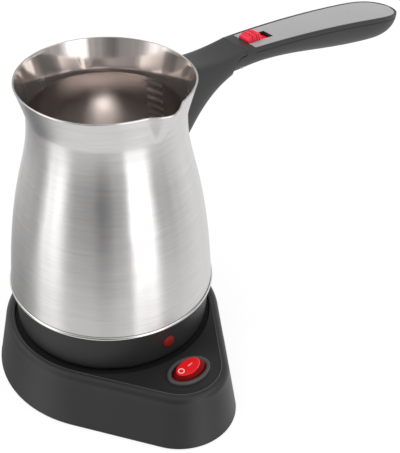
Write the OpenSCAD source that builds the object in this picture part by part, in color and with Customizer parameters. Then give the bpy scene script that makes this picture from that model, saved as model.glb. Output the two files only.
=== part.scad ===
// Electric coffee pot: a steel pot with a folding handle, lifted off a power base.
// Millimetres. +Z is up and the origin is on the pot's axis, on the table.
// The base's nose, its switch and the spout point to -Y, the handle to +X.

/* [Pot body] */
// Radius of the steel body at its foot
body_r = 51.4; // [48:0.1:55]
// Height of the steel body from the hem to the rim
body_h = 113; // [100:0.5:125]
// Radius of the neck
neck_r = 37.3; // [35:0.1:39.5]
// Height of the flared mouth above the neck
flare_h = 16.8; // [14:0.1:20]
// Radius of the rim
rim_r = 42; // [40.5:0.1:45]
// Thickness of the steel
steel_t = 0.9; // [0.7:0.1:1.2]
// How far up the body its side stays full
belly_rise = 65.6; // [50:0.1:70]
// How far down from the neck the body stays slim
neck_drop = 27; // [20:1:34]
// Distance from the pot's axis to the tip of the spout
spout_reach = 44.8; // [44:0.1:47]
// Half of the angle that the spout takes up at the rim
spout_half = 14.5; // [11:0.5:18]
// Depth of the spout's fold below the rim
spout_drop = 16.5; // [13:0.5:20]
// Depth of the steel floor's place above the hem
floor_rise = 5.4; // [4.6:0.1:7]

/* [Pot foot] */
// Height of the pot from its underside to the hem
foot_h = 23.3; // [22:0.1:27]
// How far the foot stands in from the steel body
foot_inset = 0.8; // [0.5:0.1:1.5]
// How far the foot tapers towards its underside
foot_taper = 1.3; // [0.5:0.1:2]
// Rounding of the foot's lower edge
foot_edge = 4.4; // [3:0.1:5]
// Wall of the foot
foot_wall = 2.2; // [1.8:0.1:2.8]
// Height of the rolled hem
hem_h = 1.9; // [1.5:0.1:3]
// How far the hem stands out from the body
hem_lip = 0.7; // [0.5:0.1:1.2]
// Radius of the indicator lens
lens_r = 3.6; // [3:0.1:4.5]
// Height of the lens above the pot's underside
lens_rise = 12.7; // [11:0.1:15]
// How far round the foot the lens sits from the front
lens_turn = -2.3; // [-10:0.1:10]
// Radius of the heater plate
heater_r = 38; // [36:0.5:42]
// Thickness of the heater plate
heater_t = 3.2; // [2.5:0.1:3.5]
// Radius of the heating element's loop
element_loop_r = 27; // [24:0.5:30]
// Radius of the heating element's tube
element_r = 3.2; // [2.5:0.1:3.4]

/* [Base] */
// Height of the deck above the table
base_h = 30.7; // [28:0.1:36]
// Radius of the base's nose at the table
nose_r = 29.5; // [28:0.5:33]
// Distance between the centres of the base's two round ends
nose_reach = 56.5; // [55:0.5:62]
// How far the side wall leans in over its height
base_draft = 4.7; // [3:0.1:6]
// Rounding of the deck's edge
deck_edge = 3.9; // [3:0.1:5]
// Wall of the base
base_wall = 2.3; // [2:0.1:2.8]
// Depth of the well that the pot stands in
well_depth = 1.6; // [1:0.1:2]
// Gap between the pot's foot and the rim of the well
well_gap = 1.9; // [1:0.1:3]
// Land between the well and the deck's rounded edge
well_land = 1.2; // [0.8:0.1:3]
// Radius of a rubber foot
pad_r = 6; // [5:0.5:7]
// How far the rubber feet stand out under the base
pad_out = 1; // [0.8:0.1:2]
// Radius of the hole where the supply cord goes in
cord_hole_r = 3.5; // [2.5:0.1:4]

/* [Connector] */
// Radius of the connector's plug on the base
plug_r = 12.8; // [11:0.1:14]
// Height of the plug above the well
plug_h = 10.2; // [8:0.1:12]
// Radius of a contact pin
pin_r = 1.6; // [1.2:0.1:1.8]
// Height of a contact pin above the plug
pin_h = 5.5; // [4:0.1:6]
// Distance of the outer pins from the middle one
pin_pitch = 7; // [5.5:0.1:7.4]
// Gap round the plug inside the pot's socket
plug_gap = 0.7; // [0.4:0.1:1]

/* [Switch] */
// Length of the switch's oval bezel
bezel_l = 25; // [24:0.1:27]
// Width of the oval bezel
bezel_w = 17.2; // [16:0.1:18]
// Height of the bezel above the deck
bezel_h = 1.6; // [1:0.1:2.2]
// Length of the rocker
rocker_l = 19.4; // [18:0.1:20]
// Width of the rocker
rocker_w = 12.2; // [11:0.1:13]
// Height of the rocker's face above its trunnions
rocker_h = 4.2; // [3:0.1:5]
// Length of the rocker's face as a share of the rocker
rocker_face = 0.8; // [0.7:0.01:0.9]
// Tilt of the rocker from level to either side
rocker_tilt = 10; // [5:0.5:11]
// Distance from the pot's axis to the middle of the switch
switch_y = 63.6; // [62.8:0.1:67]

/* [Handle] */
// Distance from the pot's axis to the hinge
hinge_x = 77; // [72:0.5:82]
// Depth of the hinge below the rim
hinge_drop = 15; // [14:0.1:16.5]
// Height of the handle's top above the hinge
hinge_cover = 9; // [8.8:0.1:10]
// Radius of the round knuckle at the end of the grip
knuckle_r = 6; // [5.4:0.1:6.2]
// Radius of the hinge pin
hinge_pin_r = 1.5; // [1.2:0.1:1.7]
// Width of the bracket's tongue in the hinge
tongue_w = 9.4; // [8:0.1:10]
// Length of the grip from the hinge to its tip
grip_l = 118.6; // [105:0.5:130]
// Width of the grip at the hinge
grip_w0 = 18.8; // [17.6:0.1:20]
// Width of the grip at its widest
grip_w1 = 25.6; // [23:0.1:28]
// Depth of the grip at its slimmest
grip_d0 = 12; // [11.6:0.1:13]
// How much deeper the grip is at its belly
grip_belly = 4.6; // [2:0.1:6]
// How far the top of the grip falls in a straight line to its tip
grip_fall = 2; // [0:0.1:5]
// How far the top of the grip bends down besides
grip_bend = 8.9; // [6:0.1:11]
// Wall of the grip
grip_wall = 2.2; // [1.8:0.1:2.6]
// Width of the plastic rim round the top panel
panel_rim = 1; // [0.8:0.1:1.5]
// Thickness of the top panel
panel_t = 1.6; // [1.2:0.1:1.8]
// Distance from the hinge to the front edge of the panel
panel_start = 6.9; // [6.5:0.1:8]
// Width of the bracket where it meets the pot
bracket_w = 20; // [18:0.5:24]
// How far the bracket's heel reaches down the pot below the handle's top
bracket_drop = 42.3; // [38:0.1:46]
// How far the bracket's top dips between the pot and the hinge
bracket_dip = 2.6; // [0:0.1:4]
// Length of the steel tang that the bracket is screwed to
tang_l = 24; // [22:0.5:26]

/* [Latch] */
// Length of the red button
button_l = 8.8; // [8:0.1:10]
// Width of the button
button_w = 8.2; // [7:0.1:9]
// How far the button stands above the panel
button_h = 3.2; // [2:0.1:4]
// How far the button's sides lean in
button_lean = 0.8; // [0:0.1:1]
// Width of the slot in the panel that the button's stem runs in
slot_w = 7.2; // [6:0.1:7.6]
// Travel of the button
latch_travel = 8; // [6:0.1:8.5]
// Number of ribs on the button
button_ribs = 5; // [3:1:6]
// Width of the steel bolt
bolt_w = 3; // [2.4:0.1:3.4]
// Thickness of the steel bolt
bolt_t = 2.2; // [2:0.1:2.4]

/* [Fits] */
// Gap between a moving piece and its neighbour
run_gap = 0.3; // [0.3:0.05:0.5]
// Gap between a piece and its seat in the same assembly
seat_gap = 0.1; // [0.05:0.01:0.2]
// Radial clearance of the hinge pin and the rocker's trunnions
pin_gap = 0.06; // [0.02:0.01:0.09]
// Radius of the shank of every screw
screw_r = 1.5; // [1.2:0.1:1.6]

/* [Hidden] */

// fits and stock sizes shared by several pieces
pin_seat = 0.02;
screw_gap = 0.15;
pilot = 0.85;
shank = 0.8;
head = 1.8;
boss_r = screw_r + 1.9;
tag_t = 0.8;
eps = 0.01;
fine = 96;
small = 32;

// heights, from the table up
seat_z = base_h - well_depth;
pot_z = seat_z + run_gap;
hem_z = pot_z + foot_h;
rim_z = hem_z + body_h;
neck_z = rim_z - flare_h;
floor_z = hem_z + floor_rise;
heater_z = floor_z - seat_gap - heater_t;
hem_t = 0.6;

// radii of the pot's foot and of the base under it
foot_top_r = body_r - foot_inset;
foot_low_r = foot_top_r - foot_taper;
spigot_r = body_r - steel_t - seat_gap - 0.2;
well_r = foot_low_r + well_gap;
deck_r = well_r + well_land;
base_r = deck_r + deck_edge + base_draft;

// cubic curve through four control points, in n steps
function curve(p, n) = [for (i = [0:n]) let (t = i / n, u = 1 - t)
    u * u * u * p[0] + 3 * u * u * t * p[1] + 3 * u * t * t * p[2] + t * t * t * p[3]];

// oval outline with half axes a and b
function oval(a, b, n = 40) = [for (i = [0:n - 1]) [a * cos(360 * i / n), b * sin(360 * i / n)]];

// solid skin through a list of rings with the same number of points
module skin(rings) {
    n = len(rings[0]);
    m = len(rings);
    sides = [for (i = [0:m - 2], j = [0:n - 1]) let (k = (j + 1) % n)
        each [[i * n + j, (i + 1) * n + j, (i + 1) * n + k], [i * n + j, (i + 1) * n + k, i * n + k]]];
    first = [for (j = [0:n - 1]) j];
    last = [for (j = [n - 1:-1:0]) (m - 1) * n + j];
    polyhedron([for (ring = rings) each ring], concat(sides, [first, last]));
}

// round bar along Z, or along Y
module bar_z(r, x, y, z0, z1, fn = small) {
    translate([x, y, z0]) cylinder(r = r, h = z1 - z0, $fn = fn);
}
module bar_y(r, x, z, y0, y1, fn = small) {
    translate([x, y1, z]) rotate([90, 0, 0]) cylinder(r = r, h = y1 - y0, $fn = fn);
}

// ---- pot body -------------------------------------------------------------

// side of the steel body from the hem to the rim, as radius and height
body_side = concat(
    curve([[body_r, hem_z + hem_t + seat_gap], [body_r - 4, hem_z + belly_rise],
           [neck_r, neck_z - neck_drop], [neck_r, neck_z]], 14),
    [for (i = [1:10]) curve([[neck_r, neck_z], [neck_r, neck_z + flare_h * 0.12],
           [neck_r + (rim_r - neck_r) * 0.28, neck_z + flare_h * 0.36], [rim_r, rim_z]], 10)[i]]);

// inner radius of the steel at a height
function bore_at(z) = lookup(z, [for (p = body_side) [p[1], p[0]]]) - steel_t;

// the body as a solid of revolution, grown by a margin and run on past both ends
module body_form(grow, below = 0, above = 0) {
    side = [for (p = body_side) [p[0] + grow, p[1]]];
    last = side[len(side) - 1];
    rotate_extrude($fn = fine)
        polygon(concat([[0, side[0][1] - below], [side[0][0], side[0][1] - below]], side,
                       [[last[0], last[1] + above], [0, last[1] + above]]));
}

// the spout pressed out of the wall: a fold that opens from a point below the neck's edge
// to a rounded lip, turned a little towards the handle
spout_turn = 3.4;
spout_swing = 1.7;
spout_sink = 0.15;
spout_n = 16;
function spout_share(z) = max(0, (z - rim_z + spout_drop) / spout_drop);
function side_at(z) = bore_at(min(z, rim_z)) + steel_t;
function spout_ring(z, grow, back) = let (share = min(1, spout_share(z)), base = side_at(z),
        half = spout_half * pow(share, 0.4), out = max(0, (spout_reach - neck_r) * share + neck_r - base),
        turn = spout_turn + spout_swing * min(1, share / 0.4) - 90)
    concat([for (i = [-spout_n:spout_n])
            let (lift = (out + spout_sink) * (1 - pow(abs(i / spout_n), 1.5)),
                r = base + grow + lift - spout_sink, a = turn + half * i / spout_n)
            [r * cos(a), r * sin(a), z]],
           [for (i = [1, -1])
            let (r = base - back, a = turn + half * i)
            [r * cos(a), r * sin(a), z]]);

module spout_form(grow, back, above = 0) {
    shares = [0.02, 0.06, 0.14, 0.26, 0.42, 0.6, 0.8, 1];
    skin([for (share = shares)
        spout_ring(rim_z - spout_drop * (1 - share) + (share == 1 ? above : 0), grow, back)]);
}

module vessel_wall() {
    color("silver") difference() {
        union() {
            body_form(0);
            spout_form(0, steel_t / 2);
        }
        body_form(-steel_t, 1, 1);
        spout_form(-steel_t, steel_t * 3, 0.3);
    }
}

// drawn steel pan pressed in upside down, with its skirt against the wall
module vessel_floor() {
    skirt_z = floor_z - 2.5;
    low_r = bore_at(skirt_z) - seat_gap;
    top_r = bore_at(floor_z + steel_t) - seat_gap;
    color("silver") rotate_extrude($fn = fine)
        polygon([[0, floor_z], [top_r - steel_t, floor_z], [top_r - steel_t, skirt_z], [low_r, skirt_z],
                 [top_r, floor_z + steel_t / 2], [top_r - steel_t / 2, floor_z + steel_t],
                 [0, floor_z + steel_t]]);
}

module hem_ring() {
    out_r = body_r + hem_lip;
    in_r = body_r + seat_gap;
    edge = 0.3;
    color("gainsboro") rotate_extrude($fn = fine)
        polygon([[spigot_r + seat_gap, hem_z], [out_r - edge, hem_z], [out_r, hem_z + edge],
                 [out_r, hem_z + hem_h - edge], [out_r - edge, hem_z + hem_h], [in_r, hem_z + hem_h],
                 [in_r, hem_z + hem_t], [spigot_r + seat_gap, hem_z + hem_t]]);
}

// ---- heater ---------------------------------------------------------------

stud_orbit = heater_r - 4;
stud_r = 3;
stud_l = 7;
stud_low_z = heater_z - stud_l;

module at_studs() {
    for (turn = [90, 210, 330]) rotate([0, 0, turn]) translate([stud_orbit, 0, 0]) children();
}

module heater_plate() {
    color("lightgray") {
        bar_z(heater_r, 0, 0, heater_z, heater_z + heater_t, fine);
        at_studs() difference() {
            bar_z(stud_r, 0, 0, stud_low_z, heater_z + eps);
            bar_z(screw_r * pilot, 0, 0, stud_low_z - 1, heater_z - 1);
        }
    }
}

// tubular element: an open loop under the plate, with both ends bent down to a terminal pin
module heating_element() {
    half_gap = 30;
    loop_z = heater_z - seat_gap - element_r;
    bend_r = element_r + 1.3;
    leg_l = 2;
    color("dimgray") {
        rotate([0, 0, half_gap - 90]) translate([0, 0, loop_z])
            rotate_extrude(angle = 360 - 2 * half_gap, $fn = fine)
                translate([element_loop_r, 0]) circle(r = element_r, $fn = small);
        for (side = [0, 1]) mirror([side, 0, 0])
            rotate([0, 0, half_gap - 90]) translate([element_loop_r, 0, loop_z - bend_r]) {
                rotate(a = 180, v = [1, 0, 1]) rotate_extrude(angle = 90, $fn = fine)
                    translate([bend_r, 0]) circle(r = element_r, $fn = small);
                bar_z(element_r, 0, -bend_r, -leg_l, 0);
                bar_z(element_r * 0.4, 0, -bend_r, -leg_l - 3, -leg_l);
            }
    }
}

module thermal_cutout() {
    cutout_r = element_loop_r * 0.28;
    cutout_y = element_loop_r / 2;
    body_z = heater_z - seat_gap - element_r * 1.4;
    tab_w = cutout_r * 0.4;
    tab_l = 2.8;
    color("white") {
        bar_z(cutout_r, 0, cutout_y, body_z, heater_z - seat_gap);
        for (side = [-1, 1])
            translate([side * cutout_r / 2 - tab_w / 2, cutout_y - tag_t / 2, body_z - tab_l])
                cube([tab_w, tag_t, tab_l + eps]);
    }
}

// ---- pot foot -------------------------------------------------------------

socket_r = plug_r + plug_gap;
socket_wall = 2;
socket_roof_z = seat_z + plug_h + 0.8;
socket_top_z = socket_roof_z + pin_h + 1.2;
socket_flange_r = socket_r + socket_wall + 3;
key_w = 3;
key_out = 1.4;
plug_seat = 0.15;
lens_z = pot_z + lens_rise;

// outside of the foot: a gentle taper down to a rounded lower edge
module foot_form(inset) {
    low_r = foot_low_r - inset;
    top_r = foot_top_r - inset;
    edge = foot_edge - inset / 2;
    round_side = [for (turn = [0:9:90])
        [low_r - edge + edge * sin(turn), pot_z + inset + edge * (1 - cos(turn))]];
    rotate_extrude($fn = fine)
        polygon(concat([[0, pot_z + inset]], round_side, [[top_r, hem_z], [0, hem_z]]));
}

module foot_housing() {
    tower_r = stud_r + 1;
    tower_top_z = stud_low_z - seat_gap;
    color("#2b2b2b") difference() {
        union() {
            difference() {
                union() {
                    foot_form(0);
                    bar_z(spigot_r, 0, 0, hem_z - eps, hem_z + 2.6, fine);
                }
                foot_form(foot_wall);
                bar_z(foot_top_r - foot_wall, 0, 0, hem_z - 0.5, hem_z + 3, fine);
            }
            at_studs() bar_z(tower_r, 0, 0, pot_z + foot_wall - eps, tower_top_z);
            rotate([0, 0, lens_turn])
                bar_y(lens_r + 1.2, 0, lens_z, -foot_low_r + foot_wall - 1, -foot_low_r + foot_wall + 4);
        }
        bar_z(socket_r + socket_wall + seat_gap, 0, 0, pot_z - 1, pot_z + foot_wall + 1, fine);
        rotate([0, 0, lens_turn])
            bar_y(lens_r + seat_gap, 0, lens_z, -foot_top_r - 2, -foot_low_r + foot_wall + 5);
        at_studs() {
            bar_z(screw_r + screw_gap, 0, 0, pot_z - 1, tower_top_z + 1);
            bar_z(screw_r * 2.2, 0, 0, pot_z - 1, pot_z + foot_wall + 1);
        }
    }
}

module foot_screws() {
    head_z = pot_z + foot_wall + 1 - seat_gap;
    color("slategray") at_studs() {
        bar_z(screw_r * shank, 0, 0, head_z - eps, stud_low_z + 4.5);
        bar_z(screw_r * head, 0, 0, head_z - 1.6, head_z);
    }
}

module at_pins() {
    for (side = [-1, 0, 1]) translate([side * pin_pitch, 0, 0]) children();
}

module pot_socket() {
    sleeve_r = pin_r + 1.2;
    color("#1d1d1d") difference() {
        union() {
            bar_z(socket_r + socket_wall, 0, 0, pot_z + 0.4, socket_top_z, fine);
            bar_z(socket_flange_r, 0, 0, pot_z + foot_wall + seat_gap, pot_z + foot_wall + 2, fine);
        }
        bar_z(socket_r, 0, 0, pot_z - 1, socket_roof_z, fine);
        translate([-key_w / 2 - plug_gap, 0, pot_z - 1])
            cube([key_w + 2 * plug_gap, plug_r + key_out + plug_gap, socket_roof_z - pot_z + 1]);
        at_pins() bar_z(sleeve_r + seat_gap, 0, 0, socket_roof_z - 1, socket_top_z + 1);
    }
}

module socket_contacts() {
    sleeve_r = pin_r + 1.2;
    color("goldenrod") at_pins() {
        difference() {
            bar_z(sleeve_r, 0, 0, socket_roof_z + 0.6, socket_top_z + 2);
            bar_z(pin_r + run_gap, 0, 0, socket_roof_z - 1, socket_top_z);
        }
        translate([-tag_t / 2, -sleeve_r, socket_top_z + 2 - eps]) cube([tag_t, 2 * sleeve_r, 4]);
    }
}

module indicator_lens() {
    wall_y = -foot_low_r - foot_taper * lens_rise / foot_h;
    color("firebrick") rotate([0, 0, lens_turn]) {
        bar_y(lens_r, 0, lens_z, wall_y, wall_y + foot_wall + 2);
        translate([0, wall_y, lens_z]) intersection() {
            translate([0, lens_r * 1.6, 0]) sphere(r = lens_r * 1.87, $fn = small + 16);
            bar_y(lens_r, 0, 0, -2, eps);
        }
    }
}

module indicator_lamp() {
    front_y = -foot_low_r + foot_wall + 1.8;
    color("orange") rotate([0, 0, lens_turn]) {
        bar_y(lens_r * 0.66, 0, lens_z, front_y, front_y + 8);
        for (side = [-1, 1]) bar_y(0.4, side, lens_z, front_y + 8 - eps, front_y + 13, 16);
    }
}

// ---- handle ---------------------------------------------------------------

hinge_z = rim_z - hinge_drop;
tongue_r = knuckle_r - run_gap;
seam_x = hinge_x + 0.9;
pin_end = grip_w0 / 2 - 2.4;
tip_turn = 0.815;
ring_n = 28;

function grip_u(x) = (x - hinge_x) / grip_l;
function grip_top(x) = let (u = grip_u(x)) hinge_z + hinge_cover - grip_fall * u - grip_bend * u * u;

// depth of the grip: deeper at the knuckle and at its belly
knuckle_more = 1.1;
function grip_depth(x) = let (u = grip_u(x), knuckle = max(0, 1 - max(0, u) / 0.15),
        belly = max(0, min(1, (u - 0.1) / 1.2)))
    grip_d0 + knuckle_more * knuckle * knuckle + grip_belly * (1 - cos(360 * belly)) / 2;

// how much of the full section is left where the tip rounds off
function tip_end(inset) = hinge_x + grip_l - 1.4 * inset;
function tip_share(x, inset) = let (x0 = hinge_x + tip_turn * grip_l,
        v = max(0, min(1, (x - x0) / (tip_end(inset) - x0))))
    pow(1 - pow(v, 2.5), 1 / 2.5);
function grip_half(x, inset) =
    ((grip_w0 + (grip_w1 - grip_w0) * min(1, max(0, grip_u(x)) / 0.78)) / 2 - inset) * tip_share(x, inset);

// ring of points: flat on top, rounded underneath, hung between two points of the side view
function section(top, low, half, crown) =
    let (down = low - top, depth = norm(down), dir = down / depth)
    [for (i = [0:ring_n - 1]) let (c = cos(360 * i / ring_n), s = -sin(360 * i / ring_n),
            lobe = s < 0 ? 0.36 : 0.87,
            y = half * sign(c) * pow(abs(c), lobe),
            v = s < 0 ? crown * (1 - pow(-s, lobe)) : crown + (depth - crown) * pow(s, lobe))
        [top[0] + dir[0] * v, y, top[1] + dir[1] * v]];

function stations(from, inset, n) = let (x0 = hinge_x + tip_turn * grip_l)
    concat([for (i = [0:n - 1]) from + (x0 - from) * i / n],
           [for (turn = [0:12:84]) x0 + (tip_end(inset) - x0) * sin(turn)]);

module grip_form(from, inset, lift, steps) {
    skin([for (x = stations(from, inset, steps)) let (share = tip_share(x, inset))
        section([x, grip_top(x) + lift],
                [x, grip_top(x) - (grip_depth(x) - inset) * share], grip_half(x, inset), 0.7)]);
}

// flat strip that follows the top of the grip
module panel_form(inset, over, under) {
    skin([for (x = stations(hinge_x + panel_start, inset, 16)) let (half = grip_half(x, inset))
        [[x, half, grip_top(x) + over], [x, -half, grip_top(x) + over],
         [x, -half, grip_top(x) - under], [x, half, grip_top(x) - under]]]);
}

// side view of the fixed bracket: its top line and its arched underside, each a curve
// that leaves the pot at one end, the heel, and runs level into the hinge at the other
bracket_top_z = hinge_z + hinge_cover;
heel_x = neck_r + 5;
heel_lead = 7.7;
heel_rise = 11.5;
dip_lead = 15;
arch_lead = 19;
arch_drop = 17.8;
bracket_top_line = [[heel_x - 2, bracket_top_z + 0.7], [heel_x + heel_lead + 0.3, bracket_top_z - 2],
                    [hinge_x - dip_lead, bracket_top_z - bracket_dip], [hinge_x + 1, bracket_top_z]];
bracket_low_line = [[heel_x, bracket_top_z - bracket_drop],
                    [heel_x + heel_lead, bracket_top_z - bracket_drop + heel_rise],
                    [hinge_x - arch_lead, bracket_top_z - arch_drop],
                    [hinge_x + 1, bracket_top_z - grip_d0 - knuckle_more]];

module bracket_form() {
    n = 12;
    tops = curve(bracket_top_line, n);
    lows = curve(bracket_low_line, n);
    skin(concat([section(tops[0] - [8, 0], lows[0] - [12, 0], bracket_w / 2, 0.7)],
        [for (i = [0:n]) section(tops[i], lows[i], (bracket_w + (grip_w0 - bracket_w) * i / n) / 2, 0.7)]));
}

strap_w = 13;
strap_t = 1.2;
strap_l = 22;
strap_high_z = neck_z + 3;
strap_low_z = strap_high_z - strap_l;
tang_z = neck_z + 1;
tang_end_x = neck_r + tang_l;
screw_reach = 9;
screw_edge = 3.5;
screw_pitch = 7;
strap_screw_x = [for (row = [1, 0]) tang_end_x - screw_edge - screw_pitch * row];

// pressed strap on the neck with a tang that carries the bracket
module strap_form(grow) {
    intersection() {
        difference() {
            body_form(seat_gap + strap_t + grow);
            body_form(seat_gap - grow * 0.5);
        }
        translate([0, -strap_w / 2 - grow, strap_low_z - grow])
            cube([tang_end_x, strap_w + 2 * grow, strap_high_z - strap_low_z + 2 * grow]);
    }
    translate([neck_r + strap_t / 2, -strap_w / 2 - grow, tang_z - strap_t - grow])
        cube([tang_end_x - neck_r - strap_t / 2 + grow, strap_w + 2 * grow, strap_t + 2 * grow]);
}

module neck_strap() {
    color("silver") difference() {
        strap_form(0);
        body_form(seat_gap * 0.9);
        for (x = strap_screw_x) bar_z(screw_r * pilot, x, 0, tang_z - 3, tang_z + 1);
    }
}

module bracket_screws() {
    head_z = tang_z - screw_reach - seat_gap;
    color("slategray") for (x = strap_screw_x) {
        bar_z(screw_r * shank, x, 0, head_z - eps, tang_z + 2.2);
        bar_z(screw_r * head, x, 0, head_z - 1.6, head_z);
    }
}

module handle_bracket() {
    seat_r = knuckle_r + run_gap;
    neck_h = knuckle_r * 1.3;
    color("#333333") difference() {
        union() {
            difference() {
                bracket_form();
                bar_y(seat_r, hinge_x, hinge_z, -grip_w0, grip_w0, fine);
                translate([seam_x - run_gap, -grip_w0, hinge_z - grip_d0])
                    cube([knuckle_r, 2 * grip_w0, grip_d0 * 2]);
            }
            bar_y(tongue_r, hinge_x, hinge_z, -tongue_w / 2, tongue_w / 2, fine);
            translate([hinge_x - knuckle_r * 2, -tongue_w / 2, hinge_z - neck_h / 2])
                cube([knuckle_r * 2, tongue_w, neck_h]);
        }
        body_form(seat_gap, 0, 1);
        strap_form(seat_gap);
        for (x = strap_screw_x) {
            bar_z(screw_r + screw_gap, x, 0, tang_z - screw_reach - 1, tang_z + 3);
            bar_z(screw_r * 2.1, x, 0, hinge_z - grip_d0 * 3, tang_z - screw_reach);
        }
        bar_y(hinge_pin_r + pin_seat, hinge_x, hinge_z, -grip_w0, grip_w0);
        intersection() {
            difference() {
                bar_y(tongue_r + 1, hinge_x, hinge_z, -bolt_w / 2 - run_gap, bolt_w / 2 + run_gap, fine);
                bar_y(keeper_r, hinge_x, hinge_z, -bolt_w, bolt_w, fine);
            }
            translate([hinge_x - 0.5, -bolt_w, hinge_z - seat_r])
                cube([seat_r + 1, 2 * bolt_w, 2 * seat_r]);
        }
    }
}

module hinge_pin() {
    color("silver") bar_y(hinge_pin_r, hinge_x, hinge_z, -pin_end - seat_gap, pin_end + 0.6);
}

// ---- latch ----------------------------------------------------------------

keeper_r = hinge_pin_r + 1.4;
bolt_z = hinge_z + 1.7;
bolt_tip_x = hinge_x + 2.8;
button_x = hinge_x + panel_start;
stem_in = 0.5;
slot_end_x = button_x + button_l - stem_in + latch_travel + run_gap;
carriage_z = bolt_z + bolt_t + seat_gap;
carriage_end_x = slot_end_x - latch_travel + 8;
carriage_w = slot_w + 3.4;
tab_t = 1.6;
guide_end_x = bolt_tip_x + latch_travel + 1.2;
spring_l = 15;
spring_r = 1.9;
wire_r = 0.3;
stop_x = carriage_end_x + spring_l + 2 * seat_gap;
stop_t = 1.6;
post_l = 2.4;
sink_l = 4;
spring_z = bolt_z + bolt_t / 2 - 0.6;
grip_screw_x = [hinge_x + 0.44 * grip_l, hinge_x + 0.84 * grip_l];

// ribbed button over the slot, its stem through the slot, and the carriage under the panel
module latch_button() {
    cap_z = grip_top(button_x) + run_gap;
    top_z = grip_top(button_x) + button_h;
    plate_top_z = grip_top(carriage_end_x + latch_travel) - panel_t - run_gap;
    stem_w = slot_w - 2 * run_gap;
    pitch = (button_l - 2 * button_lean) / button_ribs;
    rib_h = 0.5;
    color("crimson") {
        hull() {
            translate([button_x, -button_w / 2, cap_z]) cube([button_l, button_w, 0.8]);
            translate([button_x + button_lean, -button_w / 2 + button_lean, top_z - rib_h - 0.1])
                cube([button_l - 2 * button_lean, button_w - 2 * button_lean, 0.1]);
        }
        for (i = [0:button_ribs - 1])
            translate([button_x + button_lean + (i + 0.5) * pitch, 0, top_z - rib_h - eps])
                rotate([90, 0, 0]) linear_extrude(button_w - 2 * button_lean - 0.6, center = true)
                    polygon([[-pitch * 0.34, 0], [pitch * 0.34, 0], [pitch * 0.16, rib_h],
                             [-pitch * 0.16, rib_h]]);
        translate([button_x + stem_in, -stem_w / 2, carriage_z])
            cube([button_l - 2 * stem_in, stem_w, cap_z - carriage_z + 0.4]);
        translate([button_x + stem_in, -carriage_w / 2, carriage_z])
            cube([carriage_end_x - button_x - stem_in, carriage_w, plate_top_z - carriage_z]);
        translate([carriage_end_x - tab_t, -spring_r - 1, spring_z - spring_r - 0.4])
            cube([tab_t, 2 * spring_r + 2, carriage_z - spring_z + spring_r + 0.4 + eps]);
    }
}

module latch_bolt() {
    color("silver") translate([bolt_tip_x, -bolt_w / 2, bolt_z])
        cube([carriage_end_x - tab_t - seat_gap - bolt_tip_x, bolt_w, bolt_t]);
}

// compression spring between the carriage and the stop in the grip
module latch_spring() {
    turns = 8;
    steps = 10;
    coil_l = spring_l - 2 * wire_r;
    color("silver") skin([for (i = [0:turns * steps]) let (a = 360 * i / steps,
            x = carriage_end_x + seat_gap + wire_r + coil_l * i / (turns * steps))
        [for (k = [4:-1:0]) let (r = spring_r - wire_r + wire_r * cos(72 * k))
            [x + wire_r * sin(72 * k), r * cos(a), spring_z + r * sin(a)]]]);
}

module grip_shell() {
    cheek_gap = tongue_w / 2 + run_gap;
    color("#333333") difference() {
        intersection() {
            grip_form(hinge_x - knuckle_r - 0.6, 0, 0, 16);
            union() {
                translate([seam_x, -grip_l / 2, hinge_z - grip_l / 2]) cube(grip_l + 10);
                bar_y(knuckle_r, hinge_x, hinge_z, -grip_w0, grip_w0, fine);
            }
        }
        panel_form(panel_rim - seat_gap, 2, panel_t + seat_gap);
        difference() {
            grip_form(guide_end_x, grip_wall, 1, 12);
            translate([stop_x, -grip_w1, spring_z - 2 * grip_d0])
                cube([stop_t, 2 * grip_w1, 2 * grip_d0 + spring_r]);
            for (x = grip_screw_x)
                bar_z(boss_r, x, 0, hinge_z - 2 * grip_d0, grip_top(x) - panel_t - post_l - 2 * seat_gap);
        }
        // room for the tongue, the bolt and the button's carriage
        translate([hinge_x - grip_w0, -cheek_gap, hinge_z - grip_w0])
            cube([grip_w0 + knuckle_r + run_gap, 2 * cheek_gap, grip_w0 + knuckle_r + run_gap]);
        translate([hinge_x, -bolt_w / 2 - run_gap, bolt_z - run_gap])
            cube([guide_end_x - hinge_x + 1, bolt_w + 2 * run_gap, bolt_t + 2 * run_gap]);
        translate([button_x - run_gap, -carriage_w / 2 - run_gap, carriage_z - run_gap])
            cube([guide_end_x - button_x + 2, carriage_w + 2 * run_gap, grip_d0]);
        bar_y(hinge_pin_r + pin_gap, hinge_x, hinge_z, -pin_end - 2 * seat_gap, grip_w0);
        for (x = grip_screw_x) {
            bar_z(screw_r + screw_gap, x, 0, hinge_z - 3 * grip_d0, bracket_top_z);
            bar_z(screw_r * 2.1, x, 0, hinge_z - 3 * grip_d0, grip_top(x) - grip_depth(x) + sink_l);
        }
    }
}

module grip_panel() {
    color("darkgray") difference() {
        union() {
            panel_form(panel_rim, 0, panel_t);
            for (x = grip_screw_x)
                bar_z(boss_r - 0.4, x, 0, grip_top(x) - panel_t - post_l, grip_top(x) - panel_t / 2);
        }
        translate([hinge_x, -slot_w / 2, hinge_z])
            cube([slot_end_x - hinge_x, slot_w, hinge_cover + panel_t]);
        for (x = grip_screw_x)
            bar_z(screw_r * pilot, x, 0, hinge_z - grip_d0, grip_top(x) - panel_t + 0.6);
    }
}

module grip_screws() {
    color("slategray") for (x = grip_screw_x) {
        head_z = grip_top(x) - grip_depth(x) + sink_l - seat_gap;
        bar_z(screw_r * shank, x, 0, head_z - eps, grip_top(x) - panel_t);
        bar_z(screw_r * head, x, 0, head_z - 1.5, head_z);
    }
}

// ---- base -----------------------------------------------------------------

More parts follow.
